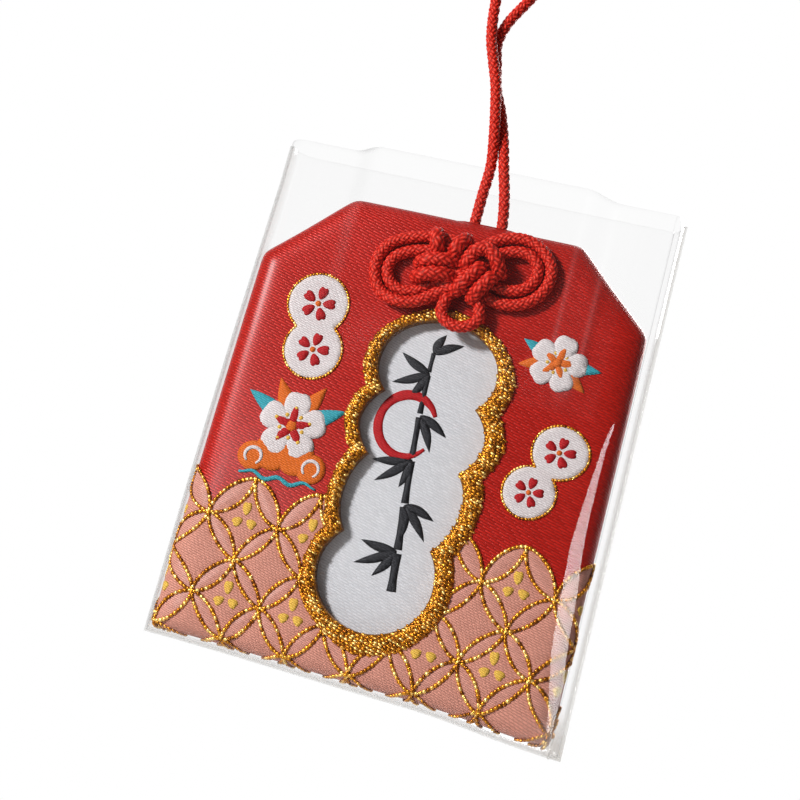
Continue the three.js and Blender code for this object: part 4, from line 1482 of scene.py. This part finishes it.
class POUCH_OT_band(Operator):
    """Couch the band's gold thread and set a blossom in each ring"""

    bl_idname = "pouch.band"
    bl_label = "Couch the band's gold thread"

    STITCH_STEP = 0.9  # spacing of the stitches, as a share of the thread's width
    INWARD = 0.02  # share of the way to its ring's middle at which a stitch has to be in the band
    THREAD_SEAM, PETAL_SEAM = 0.995, 0.96  # shares of the way to the seam that they may go
    THREAD_TUCK, PETAL_GAP = 0.3, 0.15  # how far threads go under the border, and petals stay off it
    PETALS = [(95, 2.1), (215, 1.7), (330, 1.7)]  # heading in degrees and reach of a blossom's petals
    PETAL_WIDTH, PETAL_NOTCH, PETAL_LIFT = 1.65, 0.25, 0.08
    PETAL_START = 0.35  # how far from its blossom's middle a petal starts
    BLOSSOM_RISE = 0.3  # how far over its ring's middle a blossom sits

    def execute(self, context):
        scene = context.scene
        brocade = scene.pouch_brocade
        dice = np.random.default_rng(7)
        gold = gold_finish("gold thread")
        yellow = silk_finish("yellow silk", brocade.yellow, float_length=0.9, roughness=0.4, pale=0.5)
        seam = edge_arc(mm(brocade.edge_roll))[1][-1]
        width = mm(scene.pouch_gold.thread)
        border = mm(scene.pouch_gold.border_width)
        for side, name in ((FRONT, "front"), (BACK, "back")):
            threads = Gathered()
            for ring in band_rings(steps=120):
                places, ways = walked(ring, width * self.STITCH_STEP)
                keep = past_flat(places)[0] < seam * self.THREAD_SEAM
                keep &= in_band(places + (ring.mean(axis=0) - places) * self.INWARD)
                if side == FRONT:
                    keep &= window_growth(places) > border - self.THREAD_TUCK
                add_thread(threads, places[keep], ways[keep], side, width, dice)
            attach(threads.piece(f"band_gold_{name}", [gold], "gold_thread"), "pouch")
            petals = self.blossoms(side, border, seam)
            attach(petals.piece(f"band_blossoms_{name}", [yellow], "brocade"), "pouch")
        return {"FINISHED"}

    def blossoms(self, side, border, seam):
        """Three-petalled blossoms in the rings, where the border and the seam leave room"""
        petals = Gathered()

        def carrier(places, lift):
            return on_cloth(places, side, lift)

        for i in RING_COLUMNS:
            for j in range(2):
                z = np.interp(-j, RING_ROWS, RING_HEIGHTS) + self.BLOSSOM_RISE
                x = i * ring_width(z)
                for heading, reach in self.PETALS:
                    turn = math.radians(heading)
                    root = towards(x, z, turn, self.PETAL_START)
                    line = round_petal(*root, turn, reach, self.PETAL_WIDTH, notch=self.PETAL_NOTCH)
                    if side == FRONT and window_growth(line).min() < border + self.PETAL_GAP:
                        continue
                    if past_flat(line)[0].max() > seam * self.PETAL_SEAM:
                        continue
                    add_patch(petals, line, self.PETAL_LIFT, carrier, spacing=0.45)
        return petals


class POUCH_OT_border(Operator):
    """Weave the thick gold border round the window"""

    bl_idname = "pouch.border"
    bl_label = "Weave the window's border"

    CROWN_HALF = 0.54  # half the width of the crown's full round, as a share of the border's
    CROWN_LEAST = 0.05  # square of the least share of its rise that the crown keeps
    OUTER_FOOT, OUTER_SINK = 0.1, 0.3  # where the outer edge goes into the cloth, and how far
    WALL, WALL_TOP = -0.06, 0.2  # where the inner wall stands, and how deep it starts
    WALL_FOOT, SATIN_GAP = 0.9, 0.03  # how far its foot is turned under, and its gap to the satin
    # A low glint gives the ground the dark gold of painted shade between the stitches.
    GROUND_GLINT = 0.15
    ROW_PITCH, STITCH_RUN = 0.42, 0.7
    FIELD = 24, 32  # half the size of the field that the stitches are cut from
    ROW_WOBBLE, RUN_WOBBLE, TURN_WOBBLE = 0.03, 0.05, 0.16
    INNER_GAP, OUTER_REACH = 0.02, 0.08  # where stitches start in the border, and how far past it they go
    SLOPE_STEP = 0.05
    STITCH_LIFT = 0.03
    LENGTHS, WIDTHS, HEIGHTS = (0.34, 0.44), (0.19, 0.24), (0.14, 0.2)  # half sizes of the stitches
    STITCHES, GROUND = range(2)

    def execute(self, context):
        dice = np.random.default_rng(11)
        band = Gathered()
        self.add_ground(band)
        self.add_rows(band, dice)
        # The ground's dimmed dark gold is painted shade between the stitches.
        finishes = [bpy.data.materials["gold thread"], gold_finish("dark gold ground", 0.8)]
        border = band.piece("window_border_gold", finishes, "gold_thread")
        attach(border, "pouch")
        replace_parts(border, "window_border")
        return {"FINISHED"}

    def crown(self, growth):
        """Depth of the border's round face, by how far outside the window's edge it is"""
        gold = bpy.context.scene.pouch_gold
        width = mm(gold.border_width)
        out = (growth - width / 2) / (width * self.CROWN_HALF)
        return HALF_DEPTH + mm(gold.border_rise) * np.sqrt(np.maximum(self.CROWN_LEAST, 1 - out**2))

    def add_ground(self, band):
        """The ground under the stitches, in dark gold as painted shade between them: a round band with a wall
        down to the satin
        """
        width = mm(bpy.context.scene.pouch_gold.border_width)
        satin = mm(-SATIN_LOW.y) + self.SATIN_GAP
        profile = [(width + self.OUTER_FOOT, HALF_DEPTH - self.OUTER_SINK)]
        profile += [(growth, self.crown(growth)) for growth in np.linspace(width + 0.05, 0.0, 9)]
        profile += [(self.WALL, HALF_DEPTH - self.WALL_TOP), (self.WALL, satin), (self.WALL_FOOT, satin)]
        points = []
        for growth, depth in profile:
            line = window_line(growth, steps=26)
            points.append(np.column_stack([line[:, 0], np.full(len(line), -depth), line[:, 1]]))
        count = len(points[0])
        faces = ring_faces(len(profile), count, closed=True)
        glint = np.full(len(profile) * count, self.GROUND_GLINT)
        band.add(np.concatenate(points), faces, self.GROUND, glint=glint)

    def add_rows(self, band, dice):
        """Single stitches in leaning rows, which follow the border's round face"""
        width = mm(bpy.context.scene.pouch_gold.border_width)
        lean = bpy.context.scene.pouch_brocade.row_lean
        along = np.array([math.cos(lean), -math.sin(lean)])
        across = np.array([math.sin(lean), math.cos(lean)])
        middle = np.array([WINDOW_X, LOBE_HEIGHTS.mean()])
        half_width, half_height = self.FIELD
        places = []
        for row in np.arange(-half_height, half_height, self.ROW_PITCH):
            start = dice.uniform(0, self.STITCH_RUN)
            for stop in np.arange(-half_width + start, half_width, self.STITCH_RUN):
                aside = dice.normal(0, self.ROW_WOBBLE)
                ahead = dice.normal(0, self.RUN_WOBBLE)
                places.append(middle + across * (row + aside) + along * (stop + ahead))
        places = np.array(places)
        growth = window_growth(places)
        keep = (growth > self.INNER_GAP) & (growth < width + self.OUTER_REACH)
        places, growth = places[keep], growth[keep]
        count = len(places)

        def slope(step):
            return (self.crown(window_growth(places + step)) - self.crown(growth)) / self.SLOPE_STEP

        ups = [-slope((self.SLOPE_STEP, 0)), -np.ones(count), -slope((0, self.SLOPE_STEP))]
        ups = unit(np.column_stack(ups))
        centres = np.column_stack([places[:, 0], -self.crown(growth) - self.STITCH_LIFT, places[:, 1]])
        turns = dice.normal(0, self.TURN_WOBBLE, count)[:, None]
        alongs = np.array([along[0], 0, along[1]]) + np.array([across[0], 0, across[1]]) * turns
        ups = unit(ups + dice.normal(0, self.TURN_WOBBLE, ups.shape))
        sizes = stitch_sizes(dice, count, self.LENGTHS, self.WIDTHS, self.HEIGHTS)
        add_stitches(band, centres, alongs, ups, sizes, dice, self.STITCHES)


class POUCH_OT_insert(Operator):
    """Stretch the white satin behind the window and draw the bamboo on it"""

    bl_idname = "pouch.insert"
    bl_label = "Stretch the insert"

    COLUMNS, ROWS = 26, 54
    THICKNESS = 0.25
    INK, RED = range(2)
    INK_LIFT, INK_STEP, INK_EDGE = 0.06, 0.5, 0.15
    RING_MIDDLE, RING_HALVES = (-1.0, 37.2), (4.2, 4.5)
    RING_ENDS, RING_STOPS = (28, 322), 16  # the open ring's ends in degrees
    RING_WIDTHS = [0.6, 1.3, 1.5, 1.2, 1.4, 1.3, 1.0, 0.45]
    STEM = [(2.9, 13.5), (2.3, 19.4), (1.6, 26.0), (0.9, 32.6), (0.4, 39.0), (0.1, 45.2), (0.1, 48.6)]
    STEM_WIDTH, STEM_TAPER = 1.25, 0.12  # width of the lowest length, and how much less each next one has
    JOINT_START, JOINT_END = 0.3, 0.25  # gaps at the ends of each length
    JOINT_WIDTHS = np.array([1.12, 0.9, 0.92, 1.1])  # how each length flares at its ends
    # Where each sprig starts, and its leaves' headings in degrees and lengths
    SPRIGS = [
        (0.3, 45.3, [(155, 5.2), (205, 5.6), (242, 4.6)]),
        (0.5, 39.1, [(-28, 5.0), (-62, 5.6)]),
        (1.0, 32.6, [(192, 5.8), (222, 6.2), (258, 4.4)]),
        (1.6, 26.1, [(-16, 4.8), (-48, 6.0), (-82, 5.0)]),
        (2.2, 19.5, [(176, 5.4), (208, 6.4), (238, 5.0)]),
        (0.1, 48.2, [(28, 4.6), (70, 3.4)]),
    ]
    LEAF_WIDTH, LEAF_BEND = 1.35, 0.22

    def execute(self, context):
        insert = context.scene.pouch_insert
        low = np.array([SATIN_LOW.x, SATIN_LOW.z - FOOT_Z]) / MM
        high = np.array([SATIN_HIGH.x, SATIN_HIGH.z - FOOT_Z]) / MM
        front = mm(SATIN_LOW.y)
        middle, half = (low + high) / 2, (high - low) / 2
        swell = mm(insert.swell)

        def carrier(places, lift):
            share = np.clip((places - middle) / half, -1, 1)
            out = swell * (1 - share[:, 0] ** 2) * (1 - share[:, 1] ** 4) + lift
            return np.column_stack([places[:, 0], front - out, places[:, 1]]), None

        satin = silk_finish(
            "white satin", insert.white, 0.36, 1.0, roughness=0.45, depth=0.00006, painted_groove_shade=0.1, pale=0.3
        )
        x = np.linspace(low[0], high[0], self.COLUMNS)
        z = np.linspace(low[1], high[1], self.ROWS)
        places = np.array([(a, b) for b in z for a in x])
        points, _ = carrier(places, 0)
        marks = {"cloth": np.column_stack([places, np.zeros(len(places))])}
        faces = grid_faces(self.ROWS, self.COLUMNS)
        cloth = make_piece("insert_white_satin", points, faces, [satin], None, marks)
        thicken(cloth, self.THICKNESS * MM)
        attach(cloth, "pouch")
        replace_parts(cloth, "insert_satin")
        self.drawing(carrier)
        return {"FINISHED"}

    def drawing(self, carrier):
        """An ink bamboo with a brushed red ring behind it"""
        scene = bpy.context.scene
        drawing = Gathered()

        def draw(line, tone):
            add_patch(drawing, line, self.INK_LIFT, carrier, tone, self.INK_STEP, self.INK_EDGE)

        turns = np.radians(np.linspace(*self.RING_ENDS, self.RING_STOPS))
        ring = self.RING_MIDDLE + np.column_stack([np.cos(turns), np.sin(turns)]) * self.RING_HALVES
        draw(brush(ring, self.RING_WIDTHS), self.RED)
        for k, (start, end) in enumerate(zip(np.array(self.STEM), np.array(self.STEM[1:]))):
            way = (end - start) / norm(end - start)
            line = [start + way * self.JOINT_START, (start + end) / 2, end - way * self.JOINT_END]
            draw(brush(line, (self.STEM_WIDTH - self.STEM_TAPER * k) * self.JOINT_WIDTHS), self.INK)
        for x, z, leaves in self.SPRIGS:
            for heading, length in leaves:
                line = leaf(x, z, math.radians(heading), length, self.LEAF_WIDTH, bend=self.LEAF_BEND)
                draw(line, self.INK)
        black, crimson = scene.pouch_insert.ink, scene.pouch_brocade.crimson
        ink = silk_finish("ink black silk", black, 0.32, roughness=0.55, depth=0.00005, pale=0.04)
        red = silk_finish("brush red silk", crimson, 0.32, roughness=0.5, depth=0.00006, pale=0.2)
        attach(drawing.piece("insert_drawing", [ink, red], "white_satin"), "pouch")


def on_front(places, lift):
    return on_cloth(places, FRONT, lift)


class POUCH_OT_figures(Operator):
    """Weave the gold-edged roundels and the two blossom figures"""

    bl_idname = "pouch.figures"
    bl_label = "Weave the figures"

    WHITE, CRIMSON, ORANGE, TURQUOISE, YELLOW = range(5)
    # Both discs of each pair of roundels, as x, z and radius
    ROUNDELS = [((-18.0, 51.4, 4.5), (-17.0, 44.6, 4.35)), ((21.1, 38.2, 3.85), (18.3, 31.8, 3.75))]
    ROUNDEL_BLOSSOM = 0.62  # reach of the blossom on a roundel, as a share of its radius
    EDGE_STEP, EDGE_THREAD = 0.47, 0.46
    # How far each kind of shape stands up, the spacing of its places and the width of its soft edge
    SHAPES = {
        "roundel": (0.14, 0.7, 0.4),
        "small petal": (0.26, 0.5, 0.15),
        "small eye": (0.3, 0.4, 0.12),
        "petal": (0.26, 0.6, 0.35),
        "heart": (0.34, 0.5, 0.2),
        "dot": (0.42, 0.4, 0.12),
        "eye": (0.44, 0.4, 0.2),
        "leaf": (0.18, 0.6, 0.3),
        "cloud": (0.2, 0.6, 0.3),
        "cloud line": (0.45, 0.5, 0.15),
        "wave": (0.3, 0.5, 0.2),
    }
    # Middles and radii of the cloud's heads, as shares of its size
    CLOUD = [(-0.72, 0, 0.36), (-0.28, 0.2, 0.46), (0.28, 0.2, 0.46), (0.72, 0, 0.36)]
    CLOUD_STEP = 0.01  # how much higher than the one before it each head stands
    CLOUD_LINE = 0.55  # how far out in its head a line runs, as a share of the head's radius
    LINE_WIDTHS, WAVE_WIDTHS = [0.3, 0.5, 0.5, 0.3], [0.3, 0.6, 0.6, 0.3]
    # Leaves as heading in degrees, length and tone
    LEFT_LEAVES = [(28, 8.2, TURQUOISE), (152, 8.2, TURQUOISE), (62, 7.4, ORANGE), (118, 7.4, ORANGE)]
    RIGHT_LEAVES = [(0, 6.0, TURQUOISE), (156, 6.0, TURQUOISE), (323, 5.6, ORANGE), (193, 5.6, ORANGE)]

    def execute(self, context):
        brocade = context.scene.pouch_brocade
        silks = [
            silk_finish("white silk", brocade.white, roughness=0.45, painted_groove_shade=0.22, pale=0.4),
            silk_finish("crimson silk", brocade.crimson, pale=0.3),
            silk_finish("orange silk", brocade.orange),
            silk_finish("turquoise silk", brocade.turquoise),
            bpy.data.materials["yellow silk"],
        ]
        dice = np.random.default_rng(5)
        discs, edges = Gathered(), Gathered()
        for pair in self.ROUNDELS:
            outline = twin_disc(*pair)
            self.sew(discs, "roundel", outline, self.WHITE)
            for x, z, radius in pair:
                self.small_blossom(discs, x, z, radius * self.ROUNDEL_BLOSSOM)
            places, ways = walked(outline, self.EDGE_STEP)
            add_thread(edges, places, ways, FRONT, self.EDGE_THREAD, dice)
        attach(discs.piece("roundels", silks, "brocade"), "pouch")
        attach(edges.piece("roundel_edges", [bpy.data.materials["gold thread"]], "gold_thread"), "pouch")
        for name, draw in (("figure_left", self.left_figure), ("figure_right", self.right_figure)):
            figure = Gathered()
            draw(figure)
            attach(figure.piece(name, silks, "brocade"), "pouch")
        return {"FINISHED"}

    def sew(self, gathered, kind, line, tone, more_lift=0.0):
        lift, spacing, soft_edge = self.SHAPES[kind]
        add_patch(gathered, line, lift + more_lift, on_front, tone, spacing, soft_edge)

    def small_blossom(self, gathered, x, z, reach):
        """A five-petalled red blossom"""
        for heading in np.radians(80 + 72 * np.arange(5)):
            root = towards(x, z, heading, reach * 0.2)
            petal = round_petal(*root, heading, reach * 0.78, reach * 0.66, 18, 0.3)
            self.sew(gathered, "small petal", petal, self.CRIMSON)
        self.sew(gathered, "small eye", disc(x, z, reach * 0.16, 12), self.ORANGE)

    def blossom(self, gathered, x, z, reach, inner, spin):
        """A white five-petalled blossom with a pointed heart on each petal and a ring of dots"""
        headings = np.radians(spin + 72 * np.arange(5))
        for heading in headings:
            self.sew(gathered, "petal", round_petal(x, z, heading, reach, reach * 0.98), self.WHITE)
        for heading in headings:
            self.sew(gathered, "heart", leaf(x, z, heading, reach * 0.66, reach * 0.3), inner)
        for k, heading in enumerate(np.radians(spin + 36 + 36 * np.arange(10))):
            middle = towards(x, z, heading, reach * (0.5 if k % 2 else 0.34))
            self.sew(gathered, "dot", disc(*middle, reach * 0.062, 10), self.YELLOW)
        self.sew(gathered, "eye", disc(x, z, reach * 0.16, 16), self.ORANGE)

    def leaves(self, figure, x, z, width, each):
        for heading, length, tone in each:
            self.sew(figure, "leaf", leaf(x, z, math.radians(heading), length, width), tone)

    def cloud(self, gathered, x, z, size):
        """A row of rounded cloud heads, with a curled line on both outer ones"""
        for k, (dx, dz, share) in enumerate(self.CLOUD):
            middle = x + dx * size, z + dz * size
            radius = share * size
            self.sew(gathered, "cloud", disc(*middle, radius, 26), self.ORANGE, self.CLOUD_STEP * k)
            if k in (0, len(self.CLOUD) - 1):
                turns = np.radians(np.linspace(-60, 230, 12))
                curl = [towards(*middle, turn, radius * self.CLOUD_LINE) for turn in turns]
                self.sew(gathered, "cloud line", brush(curl, self.LINE_WIDTHS), self.WHITE)

    def wave(self, figure, x, z, width):
        """A small running wave along the figure's foot"""
        shares = np.linspace(-0.5, 0.5, 17)
        line = [(x + s * width, z + 0.35 * math.cos(s * 6 * math.pi) + 1.1 * s * s) for s in shares]
        self.sew(figure, "wave", brush(line, self.WAVE_WIDTHS), self.TURQUOISE)

    def left_figure(self, figure):
        x, z = -16.9, 33.0
        self.leaves(figure, x, z, 2.6, self.LEFT_LEAVES)
        self.cloud(figure, x, z - 5.4, 6.0)
        self.wave(figure, x, z - 8.0, 11.5)
        self.blossom(figure, x, z, 5.2, self.CRIMSON, 90)

    def right_figure(self, figure):
        x, z = 17.9, 50.6
        self.leaves(figure, x, z, 2.0, self.RIGHT_LEAVES)
        self.blossom(figure, x, z, 4.3, self.ORANGE, 78)


class POUCH_OT_lining(Operator):
    """Give the cards, the paper and the wooden slip inside the pouch their finishes"""

    bl_idname = "pouch.lining"
    bl_label = "Finish the lining"

    CARD_CLEARANCE = 0.1  # how far outside the window's edge the card's hole is cut
    CARD_SLIVER = 0.02  # tells triangles on the card from slivers in its hole

    def execute(self, context):
        card = plain_sheet_finish("grey-brown card", (0.52, 0.44, 0.33), 900.0, 0.85)
        paper = plain_sheet_finish("white paper", (0.8, 0.77, 0.68), 1600.0, 0.8)
        wood = plain_sheet_finish("thin cedar", (0.46, 0.27, 0.11), 160.0, 0.6, (9, 9, 0.6))
        finishes = {"insert_board": card, "back_stiffener": card, "slip_wrapper": paper, "charm_slip": wood}
        for node, finish in finishes.items():
            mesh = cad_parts[node].data
            mesh.materials.clear()
            mesh.materials.append(finish)
        self.window_card(card)
        return {"FINISHED"}

    def window_card(self, finish):
        """The front card, with its hole cut along the border's inner wall"""
        low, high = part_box("front_stiffener")
        inset = max(HALF_WIDTH - mm(high.x), mm(low.z - FOOT_Z), HEIGHT - mm(high.z - FOOT_Z))
        outline = outline_corners(inset)
        hole = window_line(self.CARD_CLEARANCE, steps=26)
        edges = ring_edges(0, len(outline)) + ring_edges(len(outline), len(hole))
        places, faces = cut_mesh(np.concatenate([outline, hole]), edges)
        growth = window_growth(places[faces].mean(axis=1))
        faces = faces[growth > self.CARD_CLEARANCE - self.CARD_SLIVER]
        points = np.column_stack([places[:, 0], np.full(len(places), mm(low.y)), places[:, 1]])
        card = make_piece("front_card", points, faces, [finish])
        thicken(card, high.y - low.y)
        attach(card, "pouch")
        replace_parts(card, "front_stiffener")


class POUCH_OT_sleeve(Operator):
    """Slip the clear film sleeve over the pouch"""

    bl_idname = "pouch.sleeve"
    bl_label = "Slip on the sleeve"

    # Each film's piece, side and solid
    FILMS = [
        ("sleeve_film_front", FRONT, "sleeve_front_film"),
        ("sleeve_film_back", BACK, "sleeve_back_film"),
    ]
    SIDE_GAP = 0.7  # from the pouch's sides and foot to the film's edge
    ROLL, RIGHT_ROLL, FOOT_ROLL = 3.0, 1.3, 1.6  # how far in from its edges the film rolls over
    SEAM_DEPTH = 0.1  # how far from the middle the film lies at its welds
    REACH = {FRONT: 4.1, BACK: 3.5}  # how much further out its flat lies
    TENT = 3.7  # how much further out than that the film stands over the knot
    TENT_FOOT, TENT_FULL = 43.0, 53.0
    TENT_HALF, TENT_EASE = 15.0, 5.0  # half the width of the tent, and how far it falls away beside that
    SLACK_HALF = 24  # half the width of the slack film, which starts at the tent's foot
    # The crease near the right edge: how far right it lies, its bow, and the height of the bow's middle
    CREASE_START, CREASE_BOW, CREASE_MIDDLE = 25.1, 0.0042, 25.0
    CREASE_SWAY, CREASE_WAVE = 0.08, 0.41
    CREASE_WIDTH, CREASE_SLOPE = 2.3, 0.39
    CREASE_NARROWING, NARROW_START, NARROW_END = 1.5, 18, 44
    CREASE_FADE, CREASE_TOP = 42.0, 50.0
    FLAT_STEP, FACET_STEP = 0.5, 0.2  # spacing of the columns left of the crease and past it
    FACET_MARGIN = 0.7  # how far before the crease the closer columns start
    WELD_INNER = 0.3  # how far past the edge the weld's inner column lies
    WELD_TRIM = 0.25  # how much of the weld's width lies inside the edge
    WELD_FADE = 0.5  # how far in from the edge its haze fades away
    CORNER_REACH, CORNER_HAZE = 9, 2  # squared reach and strength of the painted highlight at the right foot: milky film where its fold would catch the light

    def execute(self, context):
        sleeve = context.scene.pouch_sleeve
        finish = film_finish()
        shaded_film = bpy.data.collections.new("film that the key lamp leaves out")
        lit_film = bpy.data.collections.new("film that the strip lamp lights alone")
        for name, side, node in self.FILMS:
            points, faces, marks = self.film(side)
            film = make_piece(name, points, faces, [finish], None, marks)
            thicken(film, sleeve.film)
            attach(film, "sleeve")
            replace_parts(film, node)
            shaded_film.objects.link(film)
            lit_film.objects.link(film)
        for entry in shaded_film.collection_objects:
            entry.light_linking.link_state = "EXCLUDE"
        for lamp in ("key", "sheen"):
            bpy.data.objects[lamp].light_linking.receiver_collection = shaded_film
        bpy.data.objects["strip"].light_linking.receiver_collection = lit_film
        return {"FINISHED"}

    def film(self, side):
        """Points, faces and marks of one film, from its weld in over the rolls to its flat"""
        left = HALF_WIDTH + self.SIDE_GAP
        right = left + RIGHT_BULGE
        foot = -self.SIDE_GAP
        columns, rows = self.columns_and_rows(left, right, foot)
        x, z = np.array([(x, z) for z in rows for x in columns]).T
        from_left, from_right, from_foot = x + left, right - x, z - foot
        inset = np.minimum(np.minimum(from_left, from_right), from_foot)
        roll = np.minimum(from_left / self.ROLL, from_right / self.RIGHT_ROLL)
        roll = np.minimum(roll, from_foot / self.FOOT_ROLL)
        rolled = np.sqrt(1 - (1 - np.clip(roll, 0, 1)) ** 2)
        reach = self.REACH[side]
        if side == FRONT:
            reach = reach + self.tent(x, z) - self.crease(x, z)
        points = askew(np.column_stack([x, side * (self.SEAM_DEPTH + rolled * reach), z]))
        faces = grid_faces(len(rows), len(columns))
        if side == BACK:
            faces = [face[::-1] for face in faces]
        # The weld's milky haze is the film's own; the milk at the right foot is a painted highlight of the
        # film's fold.
        corner = np.exp(-((x - right) ** 2 + (z - foot) ** 2) / self.CORNER_REACH)
        weld = np.maximum(1 - np.clip(inset / self.WELD_FADE, 0, 1), self.CORNER_HAZE * corner)
        slack = eased(self.TENT_FOOT - 1, self.TENT_FOOT + 1, z)
        slack = slack * (1 - np.clip(np.abs(x) - self.SLACK_HALF, 0, 1))
        return points, faces, {"weld": weld, "slack": slack}

    def columns_and_rows(self, left, right, foot):
        """Places across and up the film, close together on its rolls and its crease"""
        mouth = mm(SLEEVE_HIGH.z - FOOT_Z)
        weld_out = mm(bpy.context.scene.pouch_sleeve.weld) - self.WELD_TRIM
        bend = 1 - np.cos(np.linspace(0, math.pi / 2, 9))
        facet_start = self.CREASE_START - self.FACET_MARGIN
        columns = np.concatenate([
            [-left - weld_out, -left - self.WELD_INNER],
            -left + self.ROLL * bend,
            np.arange(self.ROLL - left, facet_start, self.FLAT_STEP)[1:],
            np.arange(facet_start, right - self.RIGHT_ROLL, self.FACET_STEP),
            right - self.RIGHT_ROLL * bend[::-1],
            [right + self.WELD_INNER, right + weld_out],
        ])
        lift = foot + self.FOOT_ROLL * bend
        flat = np.linspace(lift[-1], mouth, 64)[1:]
        return columns, np.concatenate([[foot - weld_out, foot - self.WELD_INNER], lift, flat])

    def tent(self, x, z):
        """How much further out the film stands over the knot"""
        beside = eased(self.TENT_HALF, self.TENT_HALF + self.TENT_EASE, np.abs(x - WINDOW_X))
        return self.TENT * eased(self.TENT_FOOT, self.TENT_FULL, z) * (1 - beside)

    def crease(self, x, z):
        """How far the film falls back right of its crease"""
        start = self.CREASE_START + self.CREASE_BOW * (z - self.CREASE_MIDDLE) ** 2
        start = start + self.CREASE_SWAY * np.sin(self.CREASE_WAVE * z)
        wide = self.CREASE_WIDTH - self.CREASE_NARROWING * eased(self.NARROW_START, self.NARROW_END, z)
        fall = np.clip(x - start, 0, wide) * self.CREASE_SLOPE
        return fall * (1 - eased(self.CREASE_FADE, self.CREASE_TOP, z))


class POUCH_PT_maker(Panel):
    """Lists the steps that make the pouch"""

    bl_label = "Amulet pouch"
    bl_idname = "POUCH_PT_maker"
    bl_space_type = "VIEW_3D"
    bl_region_type = "UI"
    bl_category = "Amulet pouch"

    def draw(self, context):
        for operator in OPERATORS:
            self.layout.operator(operator.bl_idname)
        for label, group in SETTINGS.items():
            box = self.layout.box()
            box.label(text=group.__doc__)
            for name in group.__annotations__:
                box.prop(getattr(context.scene, label), name)


OPERATORS = [
    POUCH_OT_stage,
    POUCH_OT_drawcord,
    POUCH_OT_knot,
    POUCH_OT_brocade,
    POUCH_OT_band,
    POUCH_OT_border,
    POUCH_OT_insert,
    POUCH_OT_figures,
    POUCH_OT_lining,
    POUCH_OT_sleeve,
]
CLASSES = [*SETTINGS.values(), *OPERATORS, POUCH_PT_maker]


def register():
    for each in CLASSES:
        bpy.utils.register_class(each)
    for label, group in SETTINGS.items():
        setattr(bpy.types.Scene, label, PointerProperty(type=group))


def unregister():
    for label in SETTINGS:
        delattr(bpy.types.Scene, label)
    for each in reversed(CLASSES):
        bpy.utils.unregister_class(each)


def main():
    register()
    bpy.ops.pouch.stage()
    bpy.ops.pouch.drawcord()
    bpy.ops.pouch.knot()
    bpy.ops.pouch.brocade()
    bpy.ops.pouch.band()
    bpy.ops.pouch.border()
    bpy.ops.pouch.insert()
    bpy.ops.pouch.figures()
    bpy.ops.pouch.lining()
    bpy.ops.pouch.sleeve()


if __name__ == "__main__":
    main()
